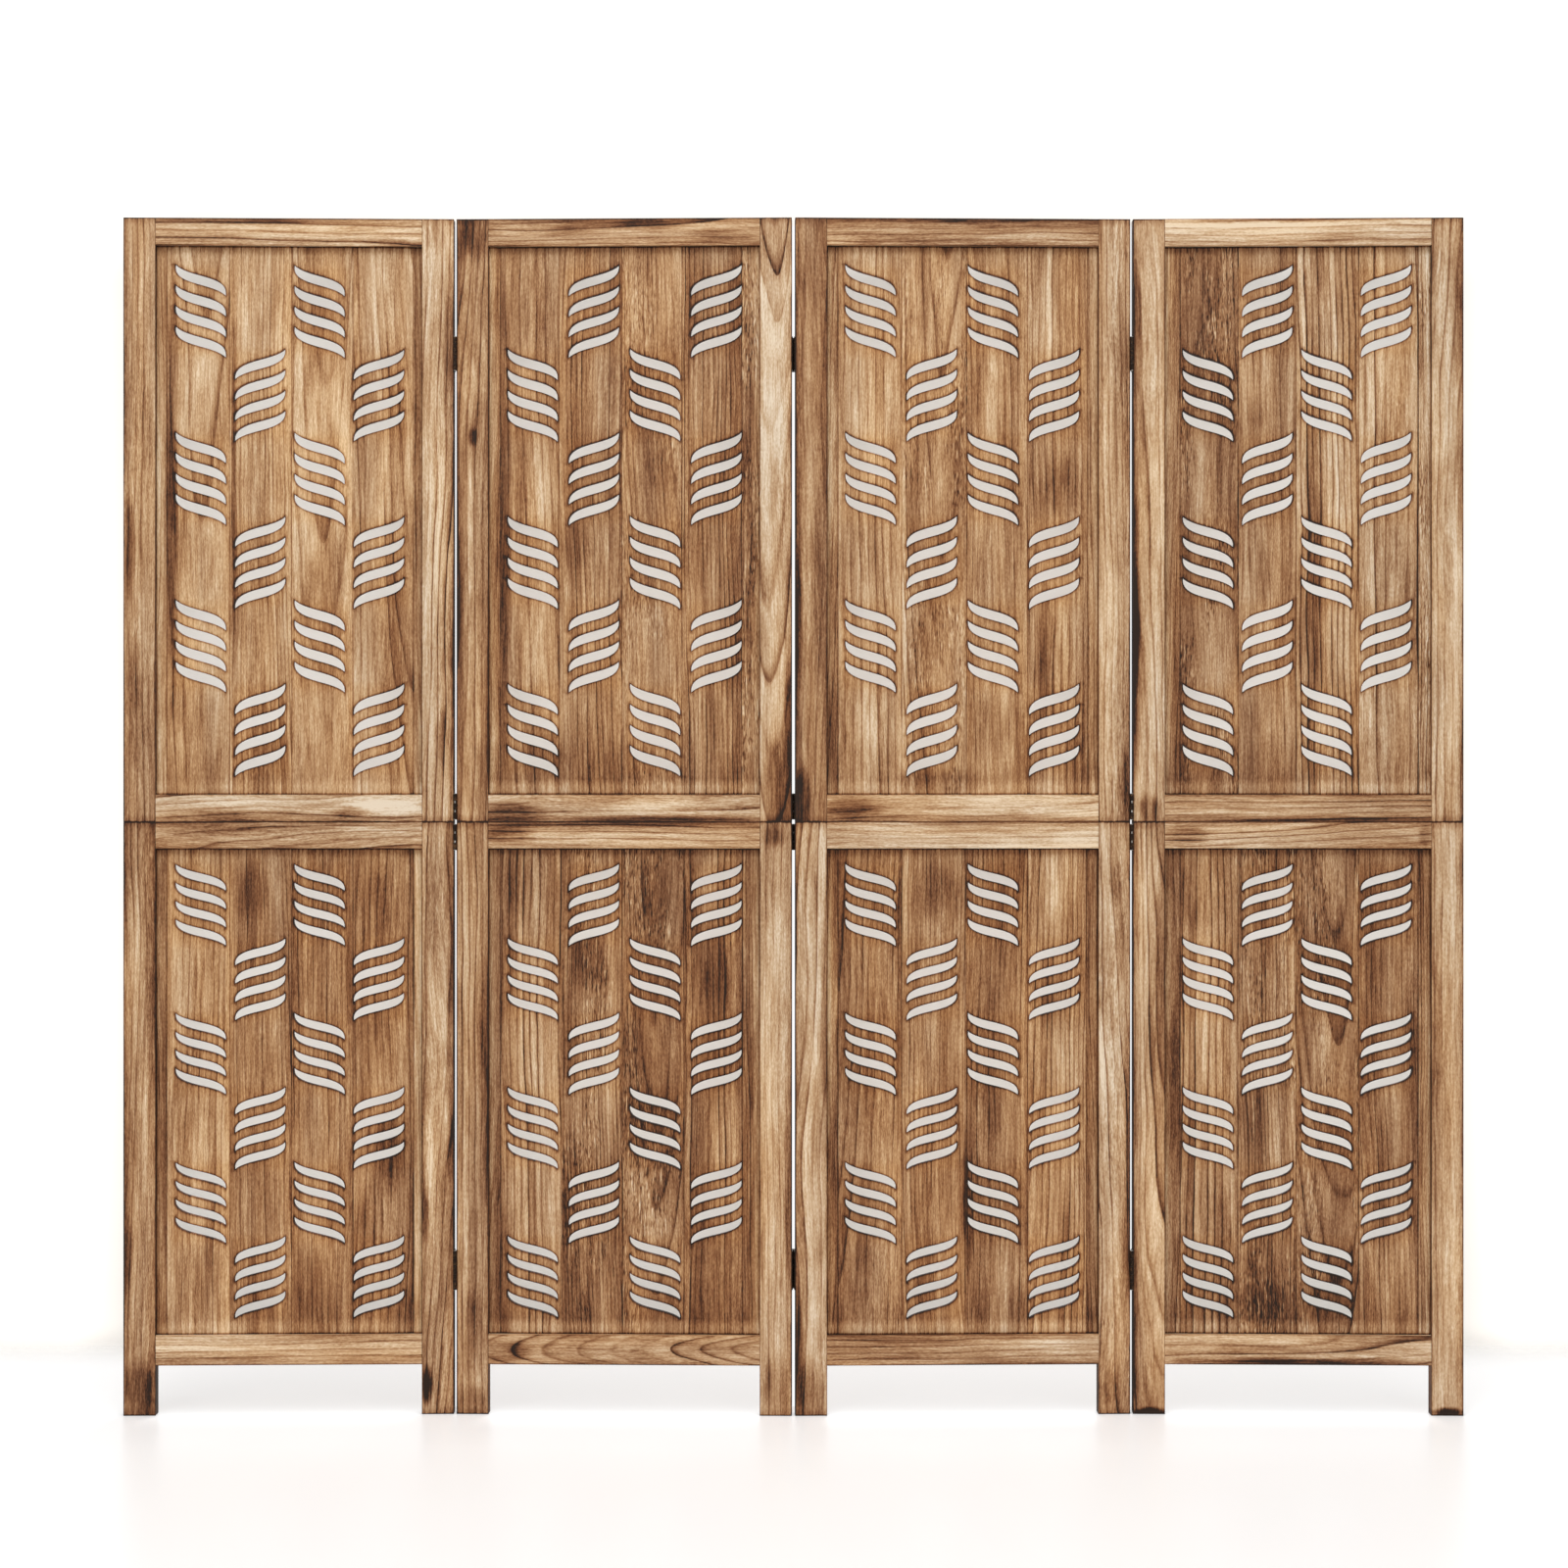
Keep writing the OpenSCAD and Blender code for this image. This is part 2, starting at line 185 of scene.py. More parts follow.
def newPiece(name, points, faces):
    mesh = bpy.data.meshes.new(name)
    mesh.from_pydata(points, [], faces)
    piece = bpy.data.objects.new(name, mesh)
    bpy.context.collection.objects.link(piece)
    return piece


# Torched wood: tones from pale sapwood, through toasted, to charred
woodTones = [
    (0.00, (232, 210, 180)), (0.16, (212, 182, 146)), (0.32, (190, 152, 112)),
    (0.48, (162, 120, 82)), (0.64, (132, 88, 56)), (0.80, (98, 58, 32)),
    (0.92, (68, 38, 20)), (1.00, (36, 22, 12)),
]
woodInputs = {
    "Place": (0.0, 0.0, 0.0), "Half": (1.0, 1.0, 1.0), "Pith": (0.3, 0.1, 0.01), "Seed": 0.0,
    "RingWidth": 0.008, "Contrast": 0.3, "Fleck": 0.05, "Tone": 0.4, "Scorch": 0.0,
    "LongEdges": 0.0, "EndEdges": 0.0, "Sides": 0.0, "Warmth": 0.0, "Wave": 1.0, "Rust": 0.4,
}
# Noises: scale across the grain and along it, detail and roughness
woodNoises = {
    "wander": (7.0, 1.3, 2.0, 0.5), "ripple": (34.0, 5.0, 2.0, 0.5), "fade": (16.0, 4.0, 2.0, 0.5),
    "streak": (150.0, 7.0, 3.0, 0.6), "wideStreak": (38.0, 2.4, 2.0, 0.5),
    "grain": (850.0, 190.0, 1.0, 0.5), "fineFibre": (620.0, 22.0, 2.0, 0.6),
    "fibre": (230.0, 8.0, 3.0, 0.6), "blotch": (34.0, 4.6, 4.0, 0.6), "cloud": (9.0, 2.8, 3.0, 0.6),
    "poreField": (24.0, 5.5, 2.0, 0.5), "pores": (760.0, 80.0, 1.0, 0.5),
    "rays": (480.0, 42.0, 2.0, 0.5), "char": (80.0, 9.0, 4.0, 0.65), "rust": (22.0, 2.4, 2.0, 0.5),
    "markEdge": (30.0, 6.0, 3.0, 0.6), "border": (26.0, 5.0, 3.0, 0.5),
}
# How far each noise moves the tone, and each part the height of the brushed surface
toneShares = {"grain": 0.46, "fineFibre": 0.66, "fibre": 0.36, "blotch": 0.60, "cloud": 0.42}
heightShares = {"lines": -0.45, "fibre": 0.6, "pores": -0.5, "scorch": -0.3}
# Darkness through one growth ring, from its pale early wood to its dark late wood
ringStops = [(0.0, 0.50), (0.06, 0.16), (0.18, 0.02), (0.55, 0.08), (0.76, 0.28), (0.88, 0.72),
             (0.95, 1.15), (1.0, 0.80)]
woodLook = {
    "seedStep": 0.731, "swing": 0.050, "ripple": 0.010, "ringMean": 0.16,
    "boldness": (0.9, 0.22), "fade": (0.36, 0.60, 0.60, 1.20), "bands": 0.30,
    "streak": (0.70, 0.10), "wideStreak": (0.70, 0.30),
    "poreField": (0.40, 0.62), "pores": (0.50, 0.66), "rays": (0.56, 0.70), "fleck": 0.50,
    "arrisWander": 0.0035, "arrisLine": (0.0002, 0.0024, 0.62, 0.0),
    "arrisHaze": (0.0, 0.014, 0.20, 0.0), "sideLine": (0.0001, 0.0007, 1.0, 0.0),
    "scorchNoise": (1.5, 0.22), "scorchContrast": 0.9, "rust": 2.4,
    "cool": (0.965, 1.012, 1.10, 1.0), "rusty": (1.035, 0.985, 0.90, 1.0),
    "warm": (1.0, 0.93, 0.80, 1.0), "sheen": 0.56, "toneSheen": 0.12, "fibreSheen": 0.16,
    "specular": 0.2, "bumpDepth": 0.0006,
}


def makeTorchedWood(look):
    # One group for all the wood. Place is metres across, through and along the grain from the
    # board's middle. Growth rings are shells round a pith line that leans along the board.
    tree = bpy.data.node_groups.new("torchedWood", "ShaderNodeTree")
    for name, value in woodInputs.items():
        kind = "NodeSocketVector" if isinstance(value, tuple) else "NodeSocketFloat"
        tree.interface.new_socket(name, in_out="INPUT", socket_type=kind).default_value = value
    for name, kind in (("Colour", "Color"), ("Roughness", "Float"), ("Height", "Float")):
        tree.interface.new_socket(name, in_out="OUTPUT", socket_type="NodeSocket" + kind)
    given = addNode(tree, "NodeGroupInput").outputs
    axes, pith, half = (axesOf(tree, given[name]) for name in ("Place", "Pith", "Half"))

    def noise(name, where, output="Fac"):
        return grainNoise(tree, where, *woodNoises[name], output)

    # Each board reads its own part of the noise
    seed = times(tree, given["Seed"], look["seedStep"])
    place = vectorCalc(tree, "ADD", given["Place"], joinAxes(tree, seed, seed, seed))

    # Growth rings
    wander = channelsOf(tree, noise("wander", place, "Color"))
    swing = times(tree, given["Wave"], look["swing"])
    sway = total(tree, spread(tree, wander[0], swing),
                 spread(tree, noise("ripple", place), look["ripple"]))
    dip = spread(tree, wander[1], swing)
    across = total(tree, minus(tree, axes[0], pith[0]), sway)
    lean = times(tree, axes[2], pith[2])
    through = total(tree, minus(tree, axes[1], pith[1]), lean, dip)
    radius = calc(tree, "SQRT", total(tree, times(tree, across, across),
                                      times(tree, through, through)))
    phase = calc(tree, "DIVIDE", radius, given["RingWidth"])
    ring = calc(tree, "FLOOR", phase)
    chance = channelsOf(tree, addNode(tree, "ShaderNodeTexWhiteNoise", {
        "W": total(tree, ring, given["Seed"])}, noise_dimensions="1D").outputs["Color"])
    lateWood = greyRamp(tree, calc(tree, "FRACT", phase), ringStops)
    bold = calc(tree, "MULTIPLY_ADD", chance[0], *look["boldness"])
    fade = blendRange(tree, noise("fade", place), *look["fade"])
    lines = times(tree, lateWood, times(tree, bold, fade))

    # Streaks follow the rings, fibres follow the bent grain, and blotches lie over both
    shell = joinAxes(tree, radius, given["Seed"], axes[2])
    bent = vectorCalc(tree, "ADD", place, joinAxes(tree, sway, dip, 0.0))
    noises = {name: noise(name, place if name == "cloud" else bent) for name in toneShares}
    poreField = blendRange(tree, noise("poreField", place), *look["poreField"])
    pores, rays = (times(tree, poreField, blendRange(tree, noise(name, bent), *look[name]))
                   for name in ("pores", "rays"))
    charNoise = noise("char", place)

    # Arrises: distance from the long ones and from the end ones, over either face
    gap = [calc(tree, "MAXIMUM", minus(tree, half[n], calc(tree, "ABSOLUTE", axes[n])), 0.0)
           for n in range(3)]
    rough = spread(tree, charNoise, look["arrisWander"])

    def burnt(side, strength):
        distance = total(tree, gap[side], gap[1], rough)
        line = blendRange(tree, distance, *look["arrisLine"])
        haze = blendRange(tree, distance, *look["arrisHaze"])
        return times(tree, total(tree, line, haze), strength)

    # Char and painted shade: the stiles' side faces are darkened all over, standing in for burnt edges and
    # for the shadow in the fold gaps
    sides = times(tree, blendRange(tree, gap[0], *look["sideLine"]), given["Sides"])

    # Scorched places darken the pattern as well as the ground
    scorch = times(tree, given["Scorch"], calc(tree, "MULTIPLY_ADD", charNoise, *look["scorchNoise"]))
    scorchUp = calc(tree, "MAXIMUM", scorch, 0.0)
    contrast = times(tree, given["Contrast"],
                     calc(tree, "MULTIPLY_ADD", scorchUp, look["scorchContrast"], 1.0))

    def streaks(name):
        share = calc(tree, "MULTIPLY_ADD", given["Contrast"], *look[name])
        return spread(tree, noise(name, shell), share)

    tone = total(
        tree, given["Tone"], times(tree, minus(tree, lines, look["ringMean"]), contrast),
        spread(tree, chance[1], times(tree, contrast, look["bands"])),
        streaks("streak"), streaks("wideStreak"),
        *(spread(tree, noises[name], share) for name, share in toneShares.items()),
        times(tree, minus(tree, pores, rays), times(tree, given["Fleck"], look["fleck"])),
        scorch, burnt(0, given["LongEdges"]), burnt(2, given["EndEdges"]), sides)
    tone = calc(tree, "MINIMUM", calc(tree, "MAXIMUM", tone, 0.0), 1.0)
    colour = colourRamp(tree, tone, [(p, toLinear(c)) for p, c in woodTones])
    rust = total(tree, given["Rust"], spread(tree, noise("rust", bent), look["rust"]))
    hue = mixColours(tree, rust, look["cool"], look["rusty"])
    rusty = mixColours(tree, 1.0, colour, hue, "MULTIPLY")
    warm = mixColours(tree, given["Warmth"], rusty, look["warm"], "MULTIPLY")
    sheen = total(tree, look["sheen"], times(tree, tone, look["toneSheen"]),
                  spread(tree, noises["fibre"], look["fibreSheen"]))
    parts = {"lines": lines, "fibre": noises["fibre"], "pores": pores, "scorch": scorchUp}
    height = total(tree, *(times(tree, parts[name], share) for name, share in heightShares.items()))
    addNode(tree, "NodeGroupOutput", {"Colour": warm, "Roughness": sheen, "Height": height})
    return tree


torchedWood = makeTorchedWood(woodLook)


def startMaterial(name):
    material = bpy.data.materials.new(name)
    material.use_nodes = True
    tree = material.node_tree
    tree.nodes.clear()
    return material, tree


def boardPlace(tree, leaf, x, z, alongX=False):
    # The board's own coordinates: across, through and along the grain, from its middle
    spot = leaves[leaf]
    turn = spot["turn"]
    middle = (spot["x"] + x * math.cos(turn), spot["y"] + x * math.sin(turn), z)
    coords = addNode(tree, "ShaderNodeTexCoord").outputs["Object"]
    return addNode(tree, "ShaderNodeMapping", {
        "Vector": coords, "Location": middle,
        "Rotation": (0.0, math.pi / 2 if alongX else 0.0, turn)}, vector_type="TEXTURE").outputs[0]


# Marks are millimetres from the leaf's middle and up from the floor, half width, half height and
# strength: above nought for a scorched place, below it for a pale one.
markLook = {"wander": 0.9, "fade": (0.25, 1.15)}


def scorchMarks(tree, place, marks, x, z, alongX=False):
    # Sum of the soft oval marks on a board whose middle is at x, z
    edge = spread(tree, grainNoise(tree, place, *woodNoises["markEdge"]), markLook["wander"])
    out = 0.0
    for markX, markZ, halfX, halfZ, strength in marks:
        spot = (markX / 1000 - x, 0.0, markZ / 1000 - z)
        scale = (1000 / halfX, 0.0, 1000 / halfZ)
        if alongX:
            spot, scale = (-spot[2], 0.0, spot[0]), scale[::-1]
        away = vectorCalc(tree, "MULTIPLY", vectorCalc(tree, "SUBTRACT", place, spot), scale)
        far = addNode(tree, "ShaderNodeVectorMath", {0: away}, operation="LENGTH").outputs["Value"]
        out = total(tree, blendRange(tree, total(tree, far, edge), *markLook["fade"], strength, 0.0), out)
    return out


def finishWood(material, tree, bump, **values):
    wood = addNode(tree, "ShaderNodeGroup", values, node_tree=torchedWood).outputs
    normal = addNode(tree, "ShaderNodeBump", {"Strength": bump, "Height": wood["Height"],
                     "Distance": woodLook["bumpDepth"]}).outputs[0]
    shader = addNode(tree, "ShaderNodeBsdfPrincipled", {
        "Base Color": wood["Colour"], "Roughness": wood["Roughness"], "Normal": normal,
        "Specular IOR Level": woodLook["specular"]})
    addNode(tree, "ShaderNodeOutputMaterial", {"Surface": shader.outputs[0]})
    return material


# Stiles and rails. A torch grade is how dark the torch left a board or a stave, from barely
# warmed to dark brown.
torchGrades = {"bare": 0.12, "pale": 0.18, "light": 0.24, "straw": 0.30, "golden": 0.36,
               "toasted": 0.42, "brown": 0.48, "deep": 0.54, "dark": 0.60}

# Grain kinds: where the pith lies across and behind the board, its lean, and the ring width
grainKinds = {
    "straight": {"pith": (0.30, 0.16, 0.010), "ringWidth": 0.0085, "wave": 0.45},
    "cathedral": {"pith": (0.004, 0.052, 0.060), "ringWidth": 0.0062, "wave": 0.8},
    "flame": {"pith": (0.030, 0.034, 0.035), "ringWidth": 0.0075, "wave": 1.25},
    "sweeping": {"pith": (-0.075, 0.055, 0.030), "ringWidth": 0.0095, "wave": 1.1},
    "longLines": {"pith": (0.020, 0.030, 0.012), "ringWidth": 0.0090, "wave": 0.7},
    "sideArch": {"pith": (0.0, 0.034, 0.090), "ringWidth": 0.0044, "wave": 0.32},
}


def board(torch, grain, contrast, fleck, marks):
    return {"torch": torch, "grain": grain, "contrast": contrast, "fleck": fleck, "marks": marks}


memberFinish = {
    "leaf_1_upper_left_stile": board("toasted", "straight", 0.28, 0.25, [
        (-238, 1300, 10, 90, 0.42), (-230, 1060, 20, 110, 0.2)]),
    "leaf_1_upper_right_stile": board("light", "sweeping", 0.46, 0.15, [
        (240, 1600, 12, 120, 0.22), (243, 1230, 10, 260, 0.25), (232, 1010, 12, 70, 0.28),
        (224, 1775, 16, 36, 0.2)]),
    "leaf_1_upper_top_rail": board("light", "sweeping", 0.5, 0.15, [(-60, 1795, 120, 8, 0.25)]),
    "leaf_1_upper_bottom_rail": board("light", "flame", 0.4, 0.2, [
        (-130, 905, 90, 18, 0.14), (150, 915, 60, 16, -0.3), (90, 905, 30, 8, 0.35)]),
    "leaf_1_lower_left_stile": board("brown", "sweeping", 0.34, 0.2, [
        (-243, 230, 12, 90, 0.35), (-222, 40, 28, 50, 0.38), (-228, 700, 24, 170, -0.18),
        (-215, 470, 8, 160, -0.15)]),
    "leaf_1_lower_right_stile": board("toasted", "sweeping", 0.46, 0.2, [
        (244, 520, 9, 280, 0.4), (212, 380, 9, 90, -0.25), (207, 42, 9, 34, 0.85),
        (203, 300, 8, 60, 0.35)]),
    "leaf_1_lower_top_rail": board("golden", "flame", 0.42, 0.2, [
        (-90, 880, 110, 12, 0.22), (120, 878, 70, 10, -0.22)]),
    "leaf_1_lower_bottom_rail": board("light", "straight", 0.3, 0.15, [(-60, 85, 110, 10, 0.14)]),
    "leaf_2_upper_left_stile": board("brown", "sweeping", 0.36, 0.2, [
        (-226, 1775, 30, 50, 0.42), (-227, 1472, 9, 16, 0.45), (-230, 1540, 14, 50, -0.22),
        (-232, 1350, 9, 120, -0.3), (-247, 1180, 8, 220, 0.3), (-222, 960, 26, 70, 0.18)]),
    "leaf_2_upper_right_stile": board("straw", "cathedral", 0.46, 0.12, [
        (226, 1400, 10, 80, 0.24), (240, 940, 36, 90, 0.52), (249, 1060, 12, 110, 0.46)]),
    "leaf_2_upper_top_rail": board("brown", "flame", 0.48, 0.15, [
        (-150, 1785, 70, 16, -0.16), (30, 1790, 60, 12, 0.3), (150, 1775, 60, 12, 0.26)]),
    "leaf_2_upper_bottom_rail": board("toasted", "flame", 0.46, 0.25, [
        (-170, 905, 60, 18, 0.42), (20, 912, 80, 15, -0.2), (60, 897, 190, 6, 0.3)]),
    "leaf_2_lower_left_stile": board("toasted", "straight", 0.48, 0.1, [
        (-208, 500, 8, 320, 0.28), (-230, 130, 30, 80, 0.2), (-228, 20, 30, 25, 0.2)]),
    "leaf_2_lower_right_stile": board("light", "straight", 0.26, 0.1, [
        (248, 450, 7, 380, 0.3), (208, 300, 7, 220, 0.2), (228, 870, 24, 20, 0.3),
        (228, 40, 26, 60, 0.26)]),
    "leaf_2_lower_top_rail": board("golden", "straight", 0.34, 0.12, [
        (-180, 872, 50, 18, 0.28), (0, 888, 220, 5, 0.22)]),
    "leaf_2_lower_bottom_rail": board("golden", "sideArch", 0.44, 0.2, [
        (-172, 96, 40, 20, 0.4), (120, 100, 90, 16, 0.12)]),
    "leaf_3_upper_left_stile": board("deep", "sweeping", 0.28, 0.2, [
        (-242, 925, 14, 60, 0.4), (-249, 1180, 8, 260, 0.35), (-232, 1700, 26, 70, 0.12),
        (-235, 1290, 9, 130, -0.2)]),
    "leaf_3_upper_right_stile": board("straw", "straight", 0.24, 0.35, [
        (240, 1500, 14, 220, 0.14), (222, 1180, 14, 160, -0.12), (245, 950, 12, 70, 0.3)]),
    "leaf_3_upper_top_rail": board("deep", "straight", 0.5, 0.15, [
        (0, 1797, 220, 5, 0.25), (-120, 1770, 80, 10, 0.16)]),
    "leaf_3_upper_bottom_rail": board("light", "flame", 0.34, 0.15, [
        (-170, 912, 55, 20, 0.4), (60, 898, 180, 6, 0.16)]),
    "leaf_3_lower_left_stile": board("golden", "sweeping", 0.5, 0.1, [
        (-230, 660, 14, 150, -0.18), (-207, 520, 8, 170, 0.2), (-248, 100, 9, 140, 0.34),
        (-228, 30, 26, 60, 0.34)]),
    "leaf_3_lower_right_stile": board("straw", "flame", 0.4, 0.3, [
        (230, 800, 16, 40, 0.22), (236, 700, 12, 60, 0.16), (246, 300, 8, 260, 0.2),
        (230, 30, 24, 50, 0.2)]),
    "leaf_3_lower_top_rail": board("pale", "straight", 0.34, 0.08, [
        (-195, 872, 30, 20, 0.14), (40, 862, 160, 5, 0.14)]),
    "leaf_3_lower_bottom_rail": board("toasted", "straight", 0.4, 0.15, [
        (-60, 112, 120, 7, 0.18), (-110, 92, 90, 20, 0.16), (110, 95, 70, 18, -0.14)]),
    "leaf_4_upper_left_stile": board("light", "longLines", 0.38, 0.1, [
        (-246, 1600, 6, 170, 0.22), (-248, 1180, 13, 270, 0.85), (-226, 912, 24, 22, 0.35),
        (-212, 1300, 16, 380, -0.16)]),
    "leaf_4_upper_right_stile": board("straw", "sweeping", 0.36, 0.2, [
        (240, 1660, 13, 110, 0.3), (243, 1400, 9, 120, 0.16), (222, 1500, 10, 260, -0.08)]),
    "leaf_4_upper_top_rail": board("bare", "straight", 0.4, 0.08, [
        (-40, 1797, 200, 5, 0.22), (60, 1770, 80, 7, 0.14)]),
    "leaf_4_upper_bottom_rail": board("brown", "straight", 0.42, 0.15, [(0, 897, 190, 6, 0.25)]),
    "leaf_4_lower_left_stile": board("toasted", "flame", 0.5, 0.1, [
        (-222, 520, 10, 110, 0.22), (-222, 800, 24, 90, -0.18), (-246, 150, 8, 220, 0.28),
        (-222, 2, 28, 9, 0.7)]),
    "leaf_4_lower_right_stile": board("straw", "straight", 0.22, 0.15, [
        (244, 820, 9, 50, 0.25), (222, 5, 26, 8, 0.75), (208, 500, 8, 240, 0.12)]),
    "leaf_4_lower_top_rail": board("light", "flame", 0.4, 0.1, [
        (-170, 872, 40, 18, 0.24), (190, 872, 12, 18, 0.28)]),
    "leaf_4_lower_bottom_rail": board("light", "flame", 0.42, 0.1, [
        (0, 79, 196, 9, 0.58), (-60, 100, 80, 10, 0.16)]),
}
# The torch has caught the edge away from the panel more than the one beside it. The stiles' side
# faces are darkened all over, partly as char and partly as painted shade for the narrow fold gaps.
memberLook = {"edgeBurn": (-0.008, 0.008, 0.28, 0.75), "endBurn": 0.85, "sideBurnAndShade": 0.50,
              "rust": 0.38, "bump": 0.35, "firstSeed": 3.0, "seedStep": 1.37}
memberBevel = {"merge": 0.00002, "width": 0.0009, "segments": 2, "angle": 40}


def memberBox(leaf, tier, part):
    # Middle across the leaf, middle height, width and height of a stile or a rail
    spot, t = leaves[leaf], tiers[tier]
    if part.endswith("stile"):
        side = -1 if part.startswith("left") else 1
        return (side * (spot["opening"] + spot["stile"]) / 2, (t["foot"] + t["head"]) / 2,
                spot["stile"], t["head"] - t["foot"])
    low, high = (t["high"], t["head"]) if part.startswith("top") else (t["rail"], t["low"])
    return 0.0, (low + high) / 2, spot["opening"], high - low


def addBevel(piece, settings):
    # Joins the loose triangles first, so that the bevel finds the true edges
    weld = piece.modifiers.new("join", "WELD")
    weld.merge_threshold = settings["merge"]
    bevel = piece.modifiers.new("arris", "BEVEL")
    bevel.width = settings["width"]
    bevel.segments = settings["segments"]
    bevel.limit_method = "ANGLE"
    bevel.angle_limit = math.radians(settings["angle"])
    bevel.harden_normals = True


def dress(piece, material):
    for slot in piece.material_slots:
        slot.material = material


def finishMember(node, finish, seed):
    _, leaf, tier, part = node.split("_", 3)
    leaf, rail = int(leaf), part.endswith("rail")
    x, z, width, height = memberBox(leaf, tier, part)
    across, along = (height, width) if rail else (width, height)
    material, tree = startMaterial(node)
    place = boardPlace(tree, leaf, x, z, rail)
    outer = 1 if part in ("right_stile", "bottom_rail") else -1
    outward = times(tree, axesOf(tree, place)[0], outer)
    kind = grainKinds[finish["grain"]]
    flip = 1 if int(seed * 10) % 2 else -1  # the grain of about half the boards is mirrored
    pithX, pithY, lean = kind["pith"]
    return finishWood(
        material, tree, memberLook["bump"], Place=place, Pith=(pithX * flip, pithY, lean * flip),
        Half=(across / 2, leaves[leaf]["thick"] / 2, along / 2), Seed=seed, Wave=kind["wave"],
        RingWidth=kind["ringWidth"], Contrast=finish["contrast"], Fleck=finish["fleck"],
        Tone=torchGrades[finish["torch"]], Rust=memberLook["rust"],
        Scorch=scorchMarks(tree, place, finish["marks"], x, z, rail),
        LongEdges=blendRange(tree, outward, *memberLook["edgeBurn"]),
        EndEdges=0.0 if rail else memberLook["endBurn"], Sides=0.0 if rail else memberLook["sideBurnAndShade"])


seed = memberLook["firstSeed"]
for node, finish in memberFinish.items():
    seed += memberLook["seedStep"]
    dress(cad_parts[node], finishMember(node, finish, seed))
    addBevel(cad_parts[node], memberBevel)
print("stiles and rails finished:", len(memberFinish))


# Pierced panels. rings holds distances from a slot's chamfer, each with how burnt it is there,
# and grid is the spacing of the face's other points, which keep clear of the slots.
panelShape = {
    "slotWidth": 0.0756, "slots": 4, "groups": 3, "columns": 4, "sideMargin": 0.028,
    "upper": {"slotHeight": 0.0465, "pitch": 0.031, "endMargin": 0.051},
    "lower": {"slotHeight": 0.0405, "pitch": 0.0276, "endMargin": 0.044},
    "curve": ((-1.0, 1.0), (-0.45, 0.15), (1.12, 0.37), (1.0, -1.0)), "steps": 20,
    "chamfer": 0.0006, "rimBurn": 0.95, "wallBurn": 0.9, "mitre": 1.5, "ringMitre": 1.3,
    "rings": [(0.0011, 0.42), (0.0028, 0.06), (0.0066, 0.0)],
    "grid": 0.009, "clear": 0.0085, "near": (0.055, 0.040), "tiny": 1e-7, "levelRise": 1e-12,
    "groupRise": 0.012, "haloFade": 0.016,
}


def slotOutline(width, height):
    # Upper edge: a cubic curve from tip to tip, shallow at first and steep at the end.
    # The lower edge is the upper one turned half round.
    t = np.linspace(0.0, 1.0, panelShape["steps"], endpoint=False)[:, None]
    a, b, c, d = (np.array(p) for p in panelShape["curve"])
    edge = (1 - t) ** 3 * a + 3 * (1 - t) ** 2 * t * b + 3 * (1 - t) * t ** 2 * c + t ** 3 * d
    edge = edge * (width / 2, height / 2)
    return np.vstack([edge, -edge])


def grow(loop, distance, longest):
    # Moves each point of a clockwise loop outwards along the mean of its two edges' normals
    forward = np.roll(loop, -1, 0) - loop
    forward /= np.linalg.norm(forward, axis=1)[:, None]
    normal = np.column_stack([-forward[:, 1], forward[:, 0]])
    before = np.roll(normal, 1, 0)
    mitre = (normal + before) / (1 + np.sum(normal * before, axis=1))[:, None]
    length = np.linalg.norm(mitre, axis=1)
    mitre *= (np.minimum(length, longest) / length)[:, None]
    return loop + mitre * distance


def inside(points, loop):
    # Even-odd rule: how many edges of the loop a ray to the right of each point crosses
    a, b = loop, np.roll(loop, -1, 0)
    x, y = points[:, :1], points[:, 1:]
    spans = (a[:, 1] > y) != (b[:, 1] > y)
    rise = np.where(b[:, 1] == a[:, 1], panelShape["levelRise"], b[:, 1] - a[:, 1])
    crossed = spans & (x < (b[:, 0] - a[:, 0]) * (y - a[:, 1]) / rise + a[:, 0])
    return np.sum(crossed, axis=1) % 2 == 1


def slotPlaces(width, low, high, spec):
    # Middle and lean of every slot, and the boxes that hold the groups. Every other column hangs
    # half a step lower and leans the other way.
    s = panelShape
    half = width / 2 - s["sideMargin"] - s["slotWidth"] / 2
    stack = (s["slots"] - 1) * spec["pitch"]
    step = (high - low - 2 * spec["endMargin"] - stack) / (s["groups"] - 0.5)
    slots, groups = [], []
    for column in range(s["columns"]):
        x = -half + column * 2 * half / (s["columns"] - 1)
        for group in range(s["groups"]):
            top = high - spec["endMargin"] - (column % 2) * step / 2 - group * step
            slots += [(x, top - n * spec["pitch"], column % 2) for n in range(s["slots"])]
            groups.append((x, top - stack / 2, s["slotWidth"] / 2, stack / 2 + s["groupRise"]))
    return slots, groups


